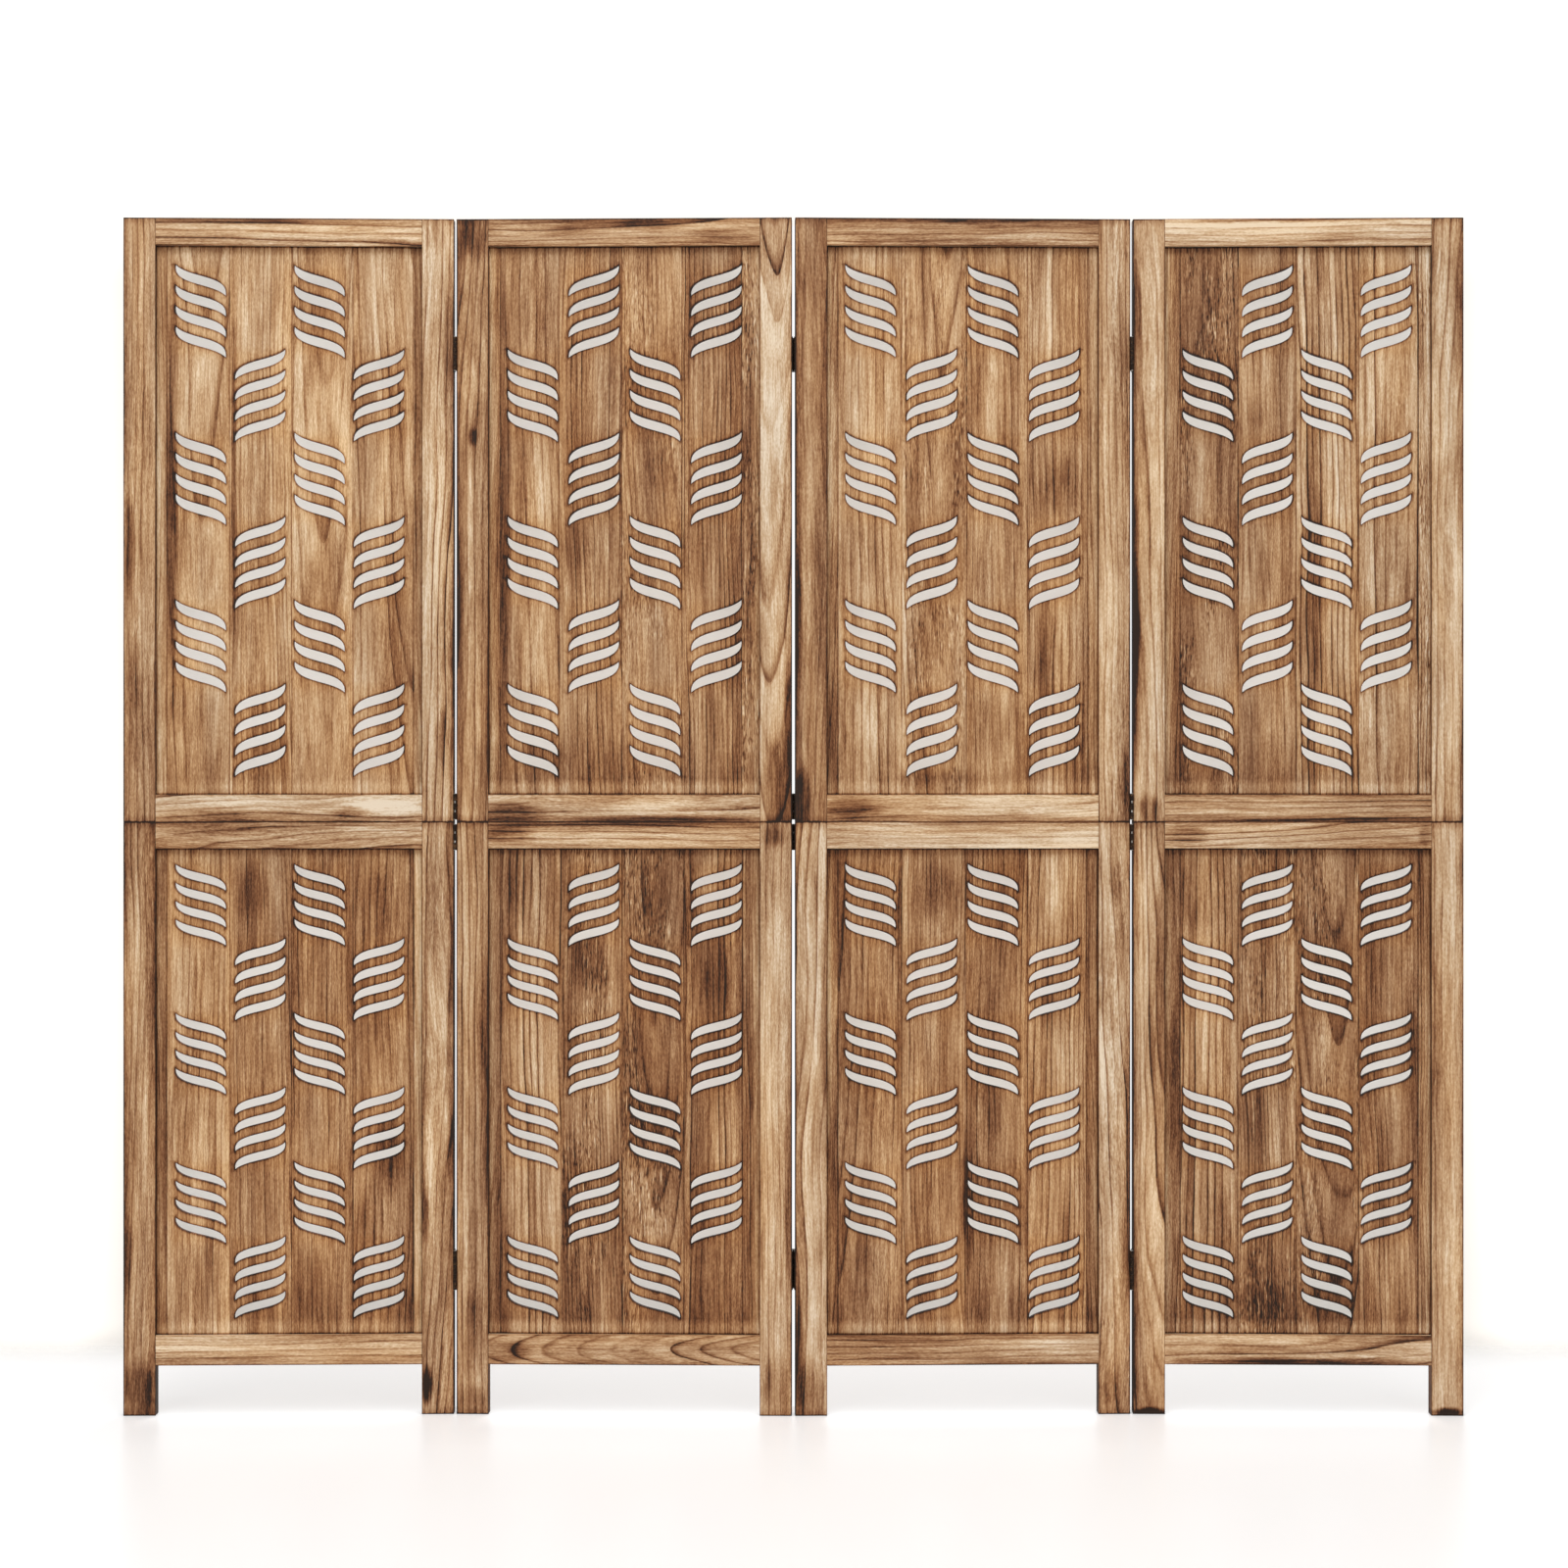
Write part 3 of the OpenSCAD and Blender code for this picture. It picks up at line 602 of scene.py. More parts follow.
def facePoints(reach, bottom, top, slots, spec):
    # Walls and rims of the slots, then every point of the face with how burnt it is. The points
    # are each slot's rim and rings, and a grid that keeps clear of the slots.
    s = panelShape
    loop = slotOutline(s["slotWidth"], spec["slotHeight"])
    walls, rims, points, burn = [], [], [], []
    for x, z, lean in slots:
        shape = (loop * (-1, 1))[::-1] if lean else loop
        wall = shape + (x, z)
        walls.append(wall)
        rims.append(grow(wall, s["chamfer"], s["mitre"]))
        points.append(rims[-1])
        burn.append(np.full(len(shape), s["rimBurn"]))
        for distance, value in s["rings"]:
            points.append(grow(wall, s["chamfer"] + distance, s["ringMitre"]))
            burn.append(np.full(len(shape), value))
    xs = np.linspace(-reach, reach, int(2 * reach / s["grid"]) + 1)
    zs = np.linspace(bottom, top, int((top - bottom) / s["grid"]) + 1)
    grid = np.stack(np.meshgrid(xs, zs, indexing="ij"), -1).reshape(-1, 2)
    keep = np.ones(len(grid), bool)
    for wall in walls:
        spot = np.where(np.all(np.abs(grid - wall.mean(0)) < s["near"], axis=1))[0]
        gaps = np.linalg.norm(grid[spot, None] - wall[None], axis=2).min(1)
        keep[spot[(gaps < s["clear"]) | inside(grid[spot], wall)]] = False
    onSide = np.abs(np.abs(grid[:, 0]) - reach) < s["tiny"]
    onEnd = np.minimum(np.abs(grid[:, 1] - bottom), np.abs(grid[:, 1] - top)) < s["tiny"]
    grid = grid[keep | onSide | onEnd]
    burn.append(np.zeros(len(grid)))
    return walls, rims, grid, np.vstack(points + [grid]), np.concatenate(burn)


def panelFace(leaf, tier):
    # The flat face between its slots: places, triangles, the slots' walls, the rims' indices,
    # and how burnt and how near a group of slots each place is
    s, t, opening = panelShape, tiers[tier], leaves[leaf]["opening"]
    node = f"leaf_{leaf}_{tier}_panel"
    reach = flatSize(node, leaves[leaf]["turn"])[0] / 2
    bottom, top = (corner.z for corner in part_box(node))
    slots, groups = slotPlaces(opening, t["low"], t["high"], s[tier])
    walls, rims, grid, points, burn = facePoints(reach, bottom, top, slots, s[tier])
    size = len(walls[0])
    perSlot = size * (1 + len(s["rings"]))
    edges = [(n * perSlot + k, n * perSlot + (k + 1) % size)
             for n in range(len(slots)) for k in range(size)]
    base = len(points) - len(grid)
    corners = [base + int(np.argmin(np.linalg.norm(grid - c, axis=1)))
               for c in ((-reach, bottom), (reach, bottom), (reach, top), (-reach, top))]
    edges += list(zip(corners, corners[1:] + corners[:1]))
    made = geometry.delaunay_2d_cdt([Vector(p) for p in points], edges, [], 0, s["tiny"], True)
    place = np.array([tuple(p) for p in made[0]])
    faces = np.array([tuple(f) for f in made[2]])
    # made[3] lists the given points that each place came from, and those lend it their burn
    sources = np.concatenate(made[3]).astype(int)
    where, value = np.zeros(len(points), int), np.zeros(len(place))
    where[sources] = np.repeat(np.arange(len(place)), [len(given) for given in made[3]])
    value[where[sources]] = burn[sources]
    # The triangles inside the rims go
    middle = place[faces].mean(1)
    keep = np.ones(len(faces), bool)
    for rim in rims:
        spot = np.where(np.all(np.abs(middle - rim.mean(0)) < s["near"], axis=1))[0]
        keep[spot[inside(middle[spot], rim)]] = False
    rimIndex = [where[n * perSlot:n * perSlot + size] for n in range(len(slots))]
    halo = np.zeros(len(place))
    for x, z, halfX, halfZ in groups:
        gap = np.maximum(np.abs(place - (x, z)) - (halfX, halfZ), 0.0)
        near = np.clip(1 - np.linalg.norm(gap, axis=1) / s["haloFade"], 0.0, 1.0)
        halo = np.maximum(halo, near * near * (3 - 2 * near))
    return place, faces[keep], walls, rimIndex, value, halo


def makePanel(node, leaf, face):
    # Two copies of the face, joined by a chamfer and a wall round every slot and by the border
    place, faces, walls, rimIndex, burn, halo = face
    s, spot = panelShape, leaves[leaf]
    sign = -1 if spot["mirrored"] else 1
    half, cut = flatSize(node, spot["turn"])[1] / 2, s["chamfer"]
    count, size = len(place), len(walls[0])
    wallPoints = np.vstack(walls)
    layers = [(place, -half), (place, half), (wallPoints, cut - half), (wallPoints, half - cut)]
    flat = np.vstack([np.column_stack([p[:, 0] * sign, np.full(len(p), y), p[:, 1]])
                      for p, y in layers])
    burns = np.concatenate([burn, burn, np.full(2 * len(wallPoints), s["wallBurn"])])
    halos = np.concatenate([halo, halo, np.ones(2 * len(wallPoints))])
    a, b, c = place[faces[:, 0]], place[faces[:, 1]], place[faces[:, 2]]
    area = (b[:, 0] - a[:, 0]) * (c[:, 1] - a[:, 1]) - (b[:, 1] - a[:, 1]) * (c[:, 0] - a[:, 0])
    faces = np.where(area[:, None] > 0, faces, faces[:, ::-1])
    quads = []
    following = np.roll(np.arange(size), -1)
    for n, rim in enumerate(rimIndex):
        front = 2 * count + n * size + np.arange(size)
        back = front + len(wallPoints)
        for near, far in ((rim, front), (front, back), (back, rim + count)):
            quads.append(np.column_stack([near, near[following], far[following], far]))
    # A border edge has a triangle on one side only, and lies on no rim
    sides = np.vstack([faces[:, [0, 1]], faces[:, [1, 2]], faces[:, [2, 0]]])
    known = set(map(tuple, sides.tolist()))
    rimPoints = set(np.concatenate(rimIndex).tolist())
    border = np.array([e for e in known if (e[1], e[0]) not in known
                       and not (e[0] in rimPoints and e[1] in rimPoints)])
    quads.append(np.column_stack([border[:, 0], border + count, border[:, 1]]))
    quads = np.vstack(quads)
    triangles = np.vstack([faces, faces[:, ::-1] + count])
    if sign < 0:
        triangles, quads = triangles[:, ::-1], quads[:, ::-1]
    cosTurn, sinTurn = math.cos(spot["turn"]), math.sin(spot["turn"])
    turned = np.column_stack([spot["x"] + flat[:, 0] * cosTurn - flat[:, 1] * sinTurn,
                              spot["y"] + flat[:, 0] * sinTurn + flat[:, 1] * cosTurn, flat[:, 2]])
    piece = newPiece(node + "_pierced", turned.tolist(), triangles.tolist() + quads.tolist())
    for name, values in (("slotBurn", burns), ("slotHalo", halos)):
        piece.data.attributes.new(name, "FLOAT", "POINT").data.foreach_set("value", values)
    piece.data.validate()
    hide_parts(node)
    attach(piece, f"leaf_{leaf}")
    return piece


# Each panel is glued up from staves. A stave starts at left (millimetres from the leaf's middle).
def stave(left, torch, contrast, pith, rings, fleck=0.1):
    return {"left": left, "torch": torch, "contrast": contrast, "pith": pith, "rings": rings,
            "fleck": fleck}


panelFinish = {
    "leaf_1_upper_panel": {"rust": 0.7, "border": 0.5, "staves": [
        stave(-220, "straw", 0.2, 0.2, 0.36), stave(-184, "golden", 0.3, -0.12, 0.42),
        stave(-90, "golden", 0.32, 0.16, 0.3), stave(3, "golden", 0.42, 0.055, 0.36),
        stave(95, "golden", 0.3, 0.2, 0.42), stave(186, "brown", 0.3, 0.3, 0.3, 0.3)],
        "marks": [(-176, 1400, 10, 420, 0.36), (-84, 1420, 6, 420, 0.36), (160, 1500, 18, 130, 0.16),
            (152, 1150, 34, 200, 0.26), (-150, 1060, 40, 50, 0.16), (-40, 1000, 50, 120, 0.14),
            (-140, 1520, 40, 120, -0.12), (-20, 1560, 14, 120, -0.12), (40, 1250, 30, 60, 0.1)]},
    "leaf_2_upper_panel": {"rust": 0.55, "border": 0.9, "staves": [
        stave(-220, "toasted", 0.25, -0.25, 0.3), stave(-187, "toasted", 0.3, -0.05, 0.54),
        stave(-99, "brown", 0.34, 0.2, 0.36, 0.15), stave(-4, "toasted", 0.26, 0.12, 0.3, 0.45),
        stave(87, "deep", 0.4, 0.32, 0.33), stave(177, "straw", 0.3, 0.36, 0.24, 0.8)],
        "marks": [(-182, 1350, 13, 430, 0.2), (-165, 1650, 40, 90, 0.12), (-124, 1390, 24, 90, -0.12),
            (-138, 1150, 16, 110, -0.16), (-75, 1300, 22, 70, 0.28), (20, 1650, 40, 90, -0.12),
            (-150, 1570, 14, 70, -0.14), (-162, 1130, 8, 120, 0.2), (128, 1060, 26, 80, 0.2),
            (-110, 1000, 34, 60, 0.16), (192, 1350, 14, 430, 0.22), (50, 1420, 40, 60, 0.1)]},
    "leaf_3_upper_panel": {"rust": 0.68, "border": 0.6, "staves": [
        stave(-220, "toasted", 0.25, -0.25, 0.3), stave(-188, "golden", 0.34, 0.4, 0.62),
        stave(-92, "toasted", 0.36, -0.02, 0.36, 0.6), stave(6, "toasted", 0.26, 0.22, 0.48),
        stave(98, "toasted", 0.4, 0.42, 0.5, 0.05), stave(189, "golden", 0.25, 0.3, 0.36)],
        "marks": [(-150, 1300, 30, 60, 0.1), (-190, 1020, 30, 120, 0.22), (-60, 1690, 12, 110, 0.2),
            (-130, 1040, 40, 60, -0.12), (-90, 1350, 8, 420, -0.22), (-50, 1180, 30, 90, 0.14),
            (-40, 1400, 12, 90, -0.16), (150, 1390, 45, 60, 0.2), (128, 1090, 24, 150, 0.28),
            (160, 1290, 34, 40, 0.14), (-30, 952, 90, 20, 0.2), (-108, 1600, 14, 110, -0.18),
            (46, 1040, 36, 60, 0.2), (130, 1600, 40, 140, -0.14), (46, 1580, 28, 160, -0.14)]},
    "leaf_4_upper_panel": {"rust": 0.36, "border": 0.8, "staves": [
        stave(-220, "toasted", 0.25, -0.25, 0.3), stave(-176, "deep", 0.22, -0.03, 0.36, 0.7),
        stave(-89, "brown", 0.24, 0.2, 0.48), stave(-2, "brown", 0.62, 0.42, 0.48, 0.15),
        stave(92, "golden", 0.46, 0.45, 0.74, 0.2), stave(181, "light", 0.35, 0.36, 0.24, 0.9)],
        "marks": [(-130, 1680, 40, 90, 0.14), (-150, 1400, 14, 120, -0.16), (-135, 1130, 16, 110, -0.12),
            (26, 1320, 16, 480, 0.24), (68, 1400, 20, 420, -0.16), (-112, 985, 24, 60, -0.12),
            (-62, 1560, 30, 60, -0.16), (192, 1150, 8, 320, 0.2), (-50, 1255, 16, 60, 0.24),
            (101, 1480, 7, 160, 0.12), (40, 1120, 24, 60, 0.14)]},
    "leaf_1_lower_panel": {"rust": 0.7, "border": 0.6, "staves": [
        stave(-220, "deep", 0.2, 0.2, 0.36), stave(-184, "golden", 0.26, -0.3, 0.42, 0.15),
        stave(-90, "brown", 0.28, 0.12, 0.3), stave(3, "deep", 0.28, 0.24, 0.36, 0.15),
        stave(95, "brown", 0.3, 0.04, 0.42), stave(186, "light", 0.3, 0.3, 0.3)],
        "marks": [(-60, 790, 26, 60, 0.3), (130, 760, 40, 90, 0.14), (148, 390, 34, 80, 0.38),
            (125, 290, 26, 70, 0.26), (140, 560, 34, 70, 0.12), (-40, 330, 44, 90, 0.14),
            (30, 200, 30, 60, 0.2), (-165, 650, 26, 150, -0.12), (-130, 205, 50, 70, 0.18)]},
    "leaf_2_lower_panel": {"rust": 0.55, "border": 0.8, "staves": [
        stave(-220, "brown", 0.25, -0.25, 0.3), stave(-187, "toasted", 0.46, 0.42, 0.55),
        stave(-96, "deep", 0.34, 0.16, 0.27, 0.6), stave(-3, "dark", 0.34, 0.05, 0.3, 0.7),
        stave(90, "deep", 0.42, 0.42, 0.42), stave(178, "brown", 0.3, 0.36, 0.24)],
        "marks": [(-50, 680, 36, 60, 0.26), (45, 790, 40, 70, 0.2), (140, 660, 40, 70, 0.18),
            (20, 350, 30, 60, -0.18), (-16, 560, 10, 160, -0.2), (-165, 800, 30, 60, 0.14),
            (122, 790, 26, 50, -0.12)]},
    "leaf_3_lower_panel": {"rust": 0.68, "border": 0.8, "staves": [
        stave(-220, "deep", 0.25, -0.25, 0.3), stave(-188, "brown", 0.3, -0.2, 0.36, 0.25),
        stave(-92, "brown", 0.34, 0.16, 0.3), stave(4, "deep", 0.3, -0.26, 0.36),
        stave(98, "golden", 0.38, 0.04, 0.36, 0.15), stave(187, "dark", 0.3, 0.3, 0.3)],
        "marks": [(-40, 790, 46, 60, 0.3), (140, 800, 40, 70, -0.14), (140, 630, 34, 70, 0.2),
            (10, 330, 12, 140, 0.3), (-150, 300, 40, 90, 0.18), (140, 430, 30, 60, -0.14),
            (120, 215, 40, 60, -0.08), (-102, 640, 12, 120, -0.14), (-150, 205, 34, 60, 0.18)]},
    "leaf_4_lower_panel": {"rust": 0.36, "border": 0.7, "staves": [
        stave(-220, "dark", 0.25, -0.25, 0.3), stave(-176, "brown", 0.5, -0.4, 0.5),
        stave(-89, "deep", 0.4, 0.14, 0.27, 0.7), stave(-2, "dark", 0.34, 0.05, 0.3, 0.6),
        stave(92, "deep", 0.28, 0.3, 0.36), stave(181, "toasted", 0.3, 0.36, 0.24)],
        "marks": [(-160, 780, 24, 70, 0.18), (-70, 440, 30, 90, 0.2), (-5, 560, 8, 300, -0.2),
            (-10, 790, 36, 50, -0.12), (134, 340, 18, 180, 0.18), (-60, 200, 40, 70, 0.18),
            (-130, 560, 16, 160, -0.16), (-30, 430, 12, 160, -0.16), (40, 560, 16, 90, -0.1),
            (-130, 190, 44, 60, 0.12), (-45, 165, 40, 40, 0.14), (45, 165, 40, 40, 0.1)]},
}
# span is the width that the stave ramps cover, and depth and lean place the staves' pith. The
# torch leaves a pale strip beside the frame, then a darker band, then fades. Thin lines of
# painted shade run where the panel meets the frame's recess, and a soft painted shadow lies
# under the top rail.
panelLook = {
    "span": 0.44, "depth": 0.060, "lean": 0.035, "widestRing": 0.020, "wave": 0.7, "bump": 0.25,
    "joint": (0.0003, 0.0014, 0.26, 0.0), "mostStaves": 8, "seedSpan": 37.0, "firstSeed": 50.0,
    "seedStep": 11.3,
    "rim": 0.50, "haloTone": 0.03, "haloWarmth": 0.7, "borderWander": 0.010, "borderShare": 0.45,
    "band": [(0.0, 0.30), (0.10, 0.18), (0.24, 0.62), (0.40, 0.42), (0.80, 0.20), (1.0, 0.20)],
    "bandReach": 0.06, "bandGround": 0.2,
    "foot": [(0.0, 0.40), (0.05, 0.10), (0.13, 0.12), (0.24, 0.62), (0.45, 0.50), (0.95, 0.30)],
    "footReach": 0.10, "footGround": 0.3, "head": (0.004, 0.016, 0.16, 0.0),
    "sideContactShade": (0.0004, 0.0022, 0.26, 0.0), "endContactShade": (0.0004, 0.0034, 0.45, 0.0),
}


def staveRamp(tree, across, staves, colours):
    # One flat step for each stave, so each channel holds one of its settings
    span = panelLook["span"]
    stops = [(max(0.0, s["left"] / 1000 / span + 0.5), colour) for s, colour in zip(staves, colours)]
    ramp = colourRamp(tree, calc(tree, "MULTIPLY_ADD", across, 1 / span, 0.5), stops, "CONSTANT")
    return channelsOf(tree, ramp)


def borderToneAndShade(tree, place, axes, halfWidth, halfHeight, strength):
    # Torch marks along the frame, plus painted shade: thin dark lines where the panel meets the frame's
    # recess, and a soft dark band under the top rail
    look = panelLook
    inX = minus(tree, halfWidth, calc(tree, "ABSOLUTE", axes[0]))
    inZ = minus(tree, halfHeight, calc(tree, "ABSOLUTE", axes[2]))
    aboveFoot = times(tree, total(tree, axes[2], halfHeight), 1 / look["footReach"])
    wander = spread(tree, grainNoise(tree, place, *woodNoises["border"]), look["borderWander"])
    reach = times(tree, total(tree, inX, wander), 1 / look["bandReach"])
    band = minus(tree, greyRamp(tree, reach, look["band"]), look["bandGround"])
    foot = minus(tree, greyRamp(tree, aboveFoot, look["foot"]), look["footGround"])
    share = look["borderShare"] * strength
    return total(tree, times(tree, band, share), times(tree, foot, share),
                 blendRange(tree, inX, *look["sideContactShade"]),
                 blendRange(tree, inZ, *look["endContactShade"]),
                 blendRange(tree, minus(tree, halfHeight, axes[2]), *look["head"]))


def finishPanel(node, leaf, tier, finish, seed):
    look, t, staves = panelLook, tiers[tier], finish["staves"]
    middle, halfHeight = (t["low"] + t["high"]) / 2, (t["high"] - t["low"]) / 2
    material, tree = startMaterial(node)
    place = boardPlace(tree, leaf, 0.0, middle)
    axes = axesOf(tree, place)
    tone, contrast, fleck = staveRamp(tree, axes[0], staves, [
        (torchGrades[s["torch"]], s["contrast"], s["fleck"]) for s in staves])[:3]
    pith, rings, number = staveRamp(tree, axes[0], staves, [
        (s["pith"] + 0.5, s["rings"], n / look["mostStaves"]) for n, s in enumerate(staves)])[:3]
    # Dark joint lines between staves
    joint = 0.0
    for s in staves[1:]:
        away = calc(tree, "ABSOLUTE", minus(tree, axes[0], s["left"] / 1000))
        joint = total(tree, blendRange(tree, away, *look["joint"]), joint)
    burn, halo = (addNode(tree, "ShaderNodeAttribute", attribute_name=name).outputs["Fac"]
                  for name in ("slotBurn", "slotHalo"))
    border = borderToneAndShade(tree, place, axes, leaves[leaf]["opening"] / 2, halfHeight, finish["border"])
    return finishWood(
        material, tree, look["bump"], Place=place, RingWidth=times(tree, rings, look["widestRing"]),
        Pith=joinAxes(tree, minus(tree, pith, 0.5), look["depth"], look["lean"]),
        Seed=calc(tree, "MULTIPLY_ADD", number, look["seedSpan"], seed),
        Contrast=contrast, Fleck=fleck, Wave=look["wave"], Rust=finish["rust"],
        Tone=total(tree, tone, joint, times(tree, burn, look["rim"]),
                   times(tree, halo, look["haloTone"]), border),
        Scorch=scorchMarks(tree, place, finish["marks"], 0.0, middle),
        Warmth=times(tree, halo, look["haloWarmth"]))


# Leaves of one width share a face, which is made once for each tier
faceCache = {}
for count, (node, finish) in enumerate(panelFinish.items()):
    leaf, tier = int(node.split("_")[1]), node.split("_")[2]
    key = (round(leaves[leaf]["opening"], 4), tier)
    if key not in faceCache:
        faceCache[key] = panelFace(leaf, tier)
    piece = makePanel(node, leaf, faceCache[key])
    panelSeed = panelLook["firstSeed"] + panelLook["seedStep"] * count
    piece.data.materials.append(finishPanel(node, leaf, tier, finish, panelSeed))
    print(node, "made:", len(piece.data.polygons), "faces")


# Dowels, plain wood in the joint between the two tiers
dowelFinish = {"torch": "bare", "contrast": 0.15, "ringWidth": 0.004, "wave": 0.3, "bump": 0.35,
               "firstSeed": 90.0}
for leaf in leaves:
    node = f"leaf_{leaf}_dowels"
    material, tree = startMaterial(node)
    dress(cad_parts[node], finishWood(
        material, tree, dowelFinish["bump"], Seed=dowelFinish["firstSeed"] + leaf,
        Place=boardPlace(tree, leaf, 0.0, tiers["upper"]["foot"]), Wave=dowelFinish["wave"],
        RingWidth=dowelFinish["ringWidth"], Contrast=dowelFinish["contrast"],
        Tone=torchGrades[dowelFinish["torch"]]))
print("dowels finished")


# Hinges: plates, screws and pins
metals = {
    "plates": {"dark": (30, 22, 17), "worn": (96, 68, 42), "rough": (0.36, 0.62), "metal": 0.85},
    "screws": {"dark": (34, 26, 20), "worn": (118, 88, 58), "rough": (0.32, 0.55), "metal": 0.9},
    "pins": {"dark": (120, 116, 110), "worn": (205, 202, 196), "rough": (0.20, 0.38), "metal": 1.0},
}
# Each noise: scale, detail and roughness
patina = {"cloud": (260.0, 4.0, 0.6), "specks": (1500.0, 2.0, 0.6),
          "cloudWear": (0.48, 0.74, 0.0, 0.7), "speckWear": (0.60, 0.74, 0.0, 0.4),
          "polish": (0.3, 0.7), "seedStep": 0.37, "bump": 0.25, "bumpDepth": 0.0001}
plateBevel = {"merge": 0.00001, "width": 0.00025, "segments": 1, "angle": 40}


def metalFinish(name, settings, seed):
    # Dark patina with the bare metal showing in small worn specks and streaks
    material, tree = startMaterial(name)
    coords = addNode(tree, "ShaderNodeTexCoord").outputs["Object"]
    spot = addNode(tree, "ShaderNodeMapping", {"Vector": coords, "Location": (seed, seed, 0.0)}).outputs[0]
    cloud, specks = (addNode(tree, "ShaderNodeTexNoise", {
        "Vector": spot, "Scale": scale, "Detail": detail, "Roughness": rough}).outputs["Fac"]
        for scale, detail, rough in (patina["cloud"], patina["specks"]))
    worn = total(tree, blendRange(tree, cloud, *patina["cloudWear"]),
                 blendRange(tree, specks, *patina["speckWear"]))
    colour = colourRamp(tree, worn, [(0.0, toLinear(settings["dark"])), (1.0, toLinear(settings["worn"]))])
    rough = blendRange(tree, cloud, *patina["polish"], *settings["rough"][::-1])
    normal = addNode(tree, "ShaderNodeBump", {
        "Strength": patina["bump"], "Distance": patina["bumpDepth"],
        "Height": total(tree, cloud, specks)}).outputs[0]
    shader = addNode(tree, "ShaderNodeBsdfPrincipled", {"Base Color": colour, "Roughness": rough,
                     "Metallic": settings["metal"], "Normal": normal})
    addNode(tree, "ShaderNodeOutputMaterial", {"Surface": shader.outputs[0]})
    return material


for fold in folds:
    for part in ("left_plates", "right_plates", "pins", "left_screws", "right_screws"):
        kind = part.split("_")[-1]
        node = f"fold_{fold}_{part}"
        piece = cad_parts[node]
        dress(piece, metalFinish(node, metals[kind], patina["seedStep"] * fold))
        if kind == "plates":
            addBevel(piece, plateBevel)
print("hinges finished")


# Studio: the photo's view, then floor, wall, glowing fold strips (painted light), world and lamps
view = {"at": (-0.0142, -4.2, 0.949), "lens": 63.93, "sensor": 36.0}
white = (1.0, 1.0, 1.0, 1.0)
floorLook = {"halfX": 3.2, "front": -2.6, "back": 0.62, "z": -0.0005, "colour": (1.0, 0.994, 0.989, 1.0),
             "glow": 0.24, "rough": 0.32, "specular": 0.45, "fadeX": (1.6, 3.15, 1.0, 0.0),
             "fadeFront": (-2.55, -1.2, 0.0, 1.0), "fadeBack": (0.30, 0.60, 1.0, 0.0)}
wallLook = {"halfX": 2.2, "foot": -0.30, "head": 3.2, "y": 1.1, "colour": (1.0, 0.965, 0.910, 1.0),
            "glow": 0.28, "fadeFoot": (-0.30, -0.10, 0.0, 1.0), "fadeSide": (1.8, 2.15, 1.0, 0.0),
            "fadeHead": (2.8, 3.15, 1.0, 0.0)}
glowStripLook = {"y": 0.045, "half": 0.003}
ambient = 0.33
lamps = {
    "keyFront": {"at": (-0.5, -3.4, 4.4), "aim": (0.0, 0.0, 0.8), "size": 2.0, "power": 58.0},
    "fillLeft": {"at": (-3.0, -4.4, 2.0), "aim": (0.0, 0.0, 0.9), "size": 2.4, "power": 34.0},
    "fillRight": {"at": (3.0, -4.4, 1.8), "aim": (0.0, 0.0, 0.9), "size": 2.4, "power": 29.0},
    "overhead": {"at": (0.0, -1.1, 5.2), "aim": (0.0, -0.9, 0.0), "size": 3.0, "power": 165.0},
    "wallLamp": {"at": (-0.0142, -4.3, 1.0), "aim": (0.0, 0.0, 0.9), "size": 0.8, "power": 400.0},
    "backTop": {"at": (0.6, 3.2, 3.6), "aim": (0.0, 0.0, 0.8), "size": 2.4, "power": 95.0},
}


def stagePiece(name, corners, surface, cover):
    # Flat rectangles, four corners each. surface and cover are functions that make the shader and
    # how much of it shows.
    piece = newPiece(name, corners, [tuple(range(n, n + 4)) for n in range(0, len(corners), 4)])
    material, tree = startMaterial(name)
    shown = mixShaders(tree, cover(tree), addNode(tree, "ShaderNodeBsdfTransparent"), surface(tree))
    addNode(tree, "ShaderNodeOutputMaterial", {"Surface": shown.outputs[0]})
    piece.data.materials.append(material)
    return piece


def glowing(tree, colour=white):
    return addNode(tree, "ShaderNodeEmission", {"Color": colour, "Strength": 1.0})


def fadeOut(tree, look, fades):
    # Product of soft fades: each name in look, along the axis given with it
    axes = axesOf(tree, addNode(tree, "ShaderNodeTexCoord").outputs["Object"])
    out = 1.0
    for name, axis in fades:
        value = calc(tree, "ABSOLUTE", axes[axis]) if axis == 0 else axes[axis]
        out = times(tree, out, blendRange(tree, value, *look[name]))
    return out


def facingFront(tree):
    # 1 on the side that faces the camera at the front, 0 on the back
    return minus(tree, 1.0, addNode(tree, "ShaderNodeNewGeometry").outputs["Backfacing"])


def makeFloor(look):
    halfX, front, back, z = (look[key] for key in ("halfX", "front", "back", "z"))

    def surface(tree):
        ground = addNode(tree, "ShaderNodeBsdfPrincipled", {"Base Color": look["colour"],
                         "Roughness": look["rough"], "Specular IOR Level": look["specular"]})
        seen = addNode(tree, "ShaderNodeLightPath").outputs["Is Camera Ray"]
        return mixShaders(tree, times(tree, seen, look["glow"]), ground, glowing(tree))

    def cover(tree):
        return fadeOut(tree, look, (("fadeX", 0), ("fadeFront", 1), ("fadeBack", 1)))

    stagePiece("studioFloor", [(-halfX, front, z), (halfX, front, z), (halfX, back, z),
                               (-halfX, back, z)], surface, cover)


def seenByCameraOnly(piece):
    for ray in ("diffuse", "glossy", "transmission", "volume_scatter", "shadow"):
        setattr(piece, "visible_" + ray, False)
    return piece


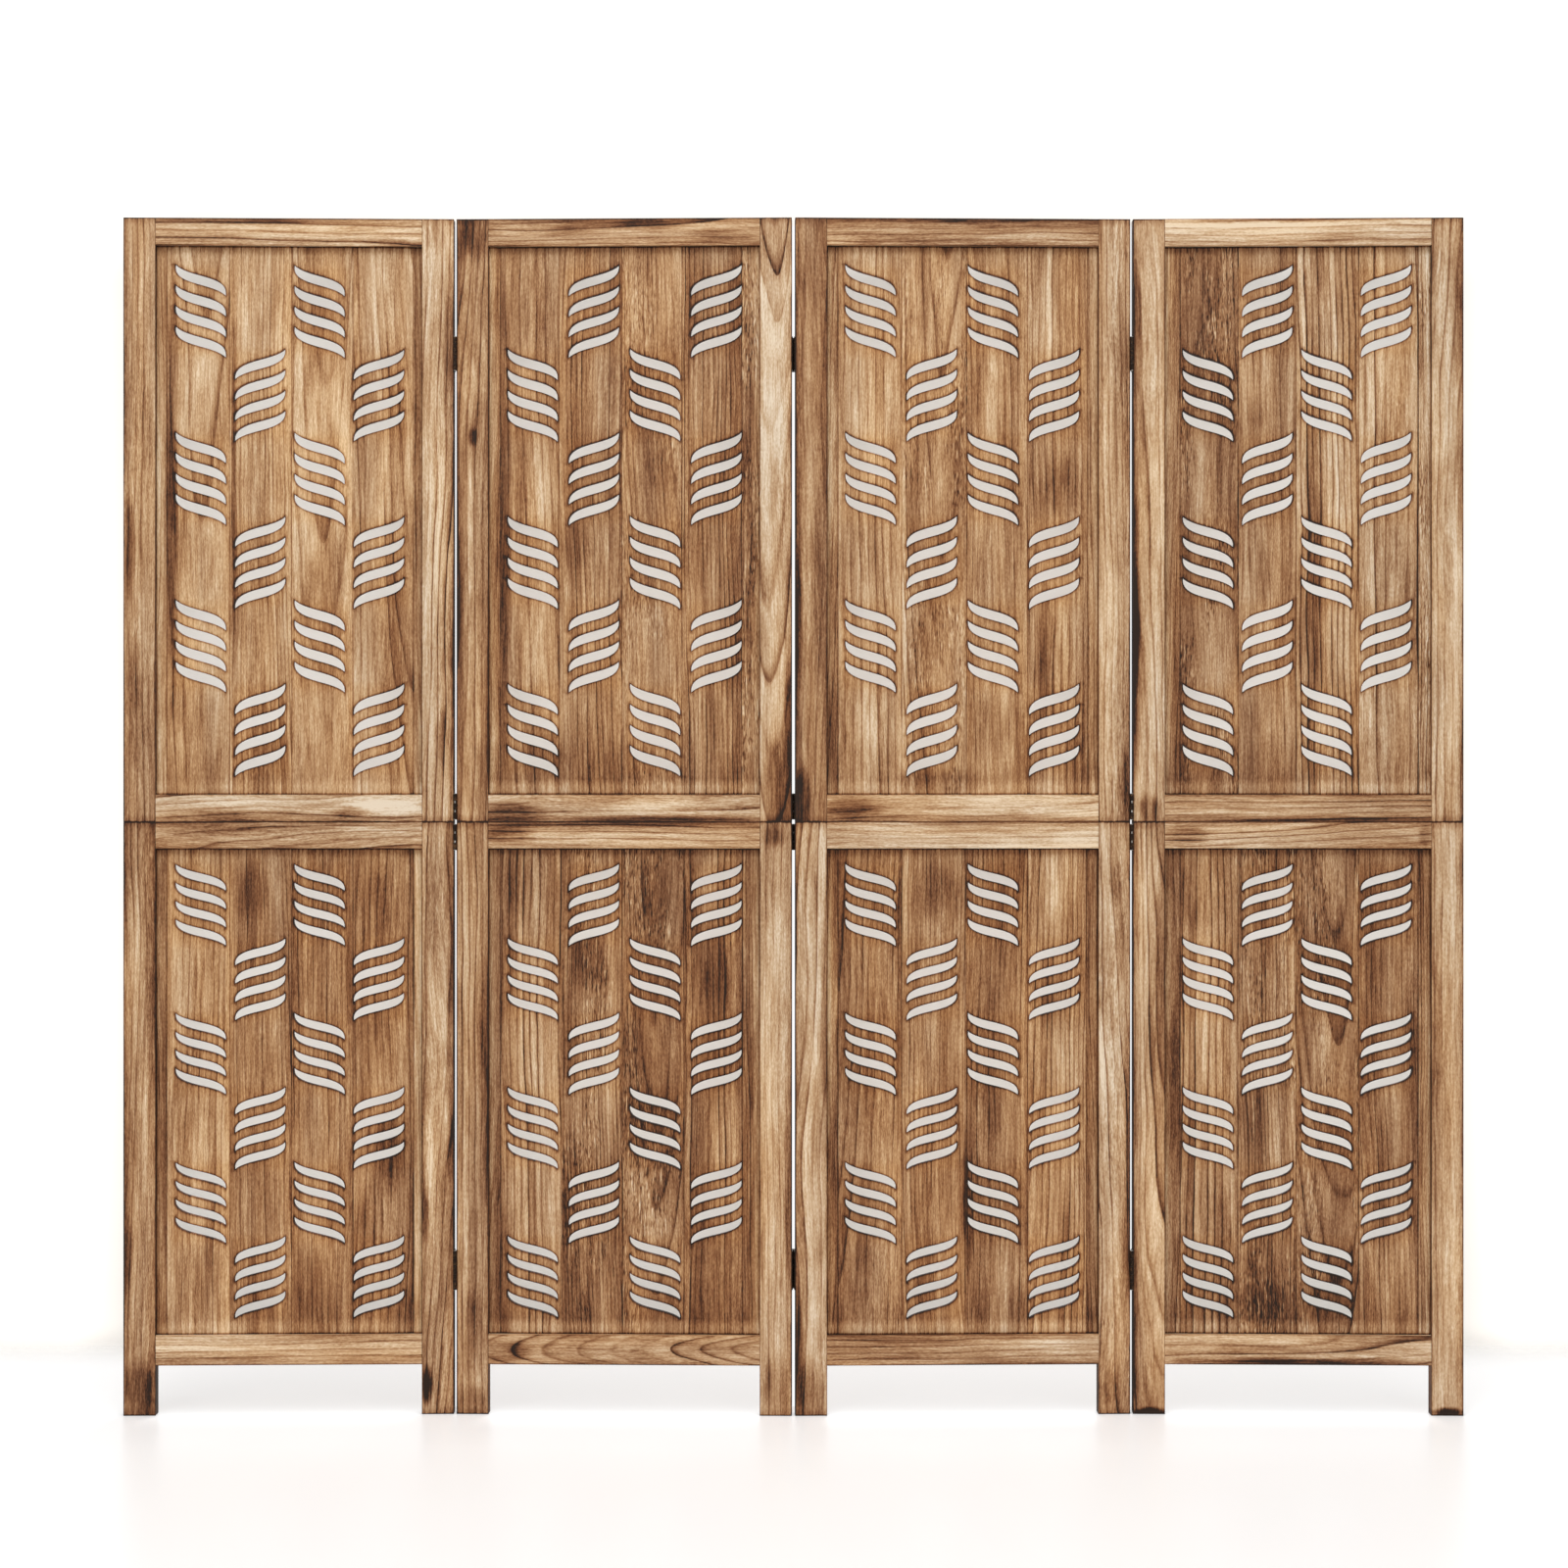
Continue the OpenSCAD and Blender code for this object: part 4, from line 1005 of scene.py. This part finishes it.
def makeWall(look):
    # A white wall behind the screen. One lamp lights nothing but the wall, from the camera's side,
    # so the screen's own soft shadow is what shows through the slots.
    halfX, foot, head, y = (look[key] for key in ("halfX", "foot", "head", "y"))

    def surface(tree):
        lit = addNode(tree, "ShaderNodeBsdfDiffuse", {"Color": look["colour"]})
        return mixShaders(tree, look["glow"], lit, glowing(tree, look["colour"]))

    def cover(tree):
        fade = fadeOut(tree, look, (("fadeSide", 0), ("fadeFoot", 2), ("fadeHead", 2)))
        return times(tree, fade, facingFront(tree))

    return seenByCameraOnly(stagePiece(
        "studioWall", [(-halfX, y, foot), (halfX, y, foot), (halfX, y, head), (-halfX, y, head)],
        surface, cover))


def makeFoldGlowStrips(look):
    # A narrow glowing white strip close behind each fold, on the camera's line through the gap:
    # painted light over the wall's shadow there, so the gaps show white
    eyeX, eyeY = view["at"][:2]
    y, half, top = look["y"], look["half"], tiers["upper"]["head"]
    corners = []
    for fold in folds:
        x = eyeX + (boxMiddle(f"fold_{fold}_pins").x - eyeX) * (y - eyeY) / -eyeY
        corners += [(x - half, y, 0.0), (x + half, y, 0.0), (x + half, y, top), (x - half, y, top)]
    seenByCameraOnly(stagePiece("foldCards", corners, glowing, facingFront))


makeFloor(floorLook)
studioWall = makeWall(wallLook)
makeFoldGlowStrips(glowStripLook)


def linkToWall(light, state):
    group = bpy.data.collections.new(light.name + "Wall")
    group.objects.link(studioWall)
    group.collection_objects[0].light_linking.link_state = state
    light.light_linking.receiver_collection = group


def makeWorld(strength):
    # Plain white for the camera and for reflections, and a softer light on everything else
    world = bpy.data.worlds.new("studioWorld")
    bpy.context.scene.world = world
    world.use_nodes = True
    tree = world.node_tree
    tree.nodes.clear()
    path = addNode(tree, "ShaderNodeLightPath").outputs
    seen = calc(tree, "MAXIMUM", path["Is Camera Ray"],
                calc(tree, "MAXIMUM", path["Is Glossy Ray"], path["Is Transmission Ray"]))
    soft, plain = (addNode(tree, "ShaderNodeBackground", {"Color": white, "Strength": power})
                   for power in (strength, 1.0))
    both = mixShaders(tree, seen, soft, plain)
    addNode(tree, "ShaderNodeOutputWorld", {"Surface": both.outputs[0]})


def makeLamp(name, settings):
    lamp = bpy.data.lights.new(name, "AREA")
    lamp.shape = "SQUARE"
    lamp.size = settings["size"]
    lamp.energy = settings["power"]
    light = bpy.data.objects.new(name, lamp)
    light.location = settings["at"]
    aim = Vector(settings["aim"]) - Vector(settings["at"])
    light.rotation_euler = aim.to_track_quat("-Z", "Y").to_euler()
    bpy.context.collection.objects.link(light)
    linkToWall(light, "INCLUDE" if name == "wallLamp" else "EXCLUDE")


makeWorld(ambient)
for name, settings in lamps.items():
    makeLamp(name, settings)
print("studio lit")


# Camera, fitted to the photo's view
lens = bpy.data.cameras.new("viewCamera")
lens.lens = view["lens"]
lens.sensor_width = view["sensor"]
camera = bpy.data.objects.new("viewCamera", lens)
camera.location = view["at"]
camera.rotation_euler = (math.pi / 2, 0.0, 0.0)
bpy.context.collection.objects.link(camera)
bpy.context.scene.camera = camera
bpy.context.scene.view_settings.view_transform = "Standard"
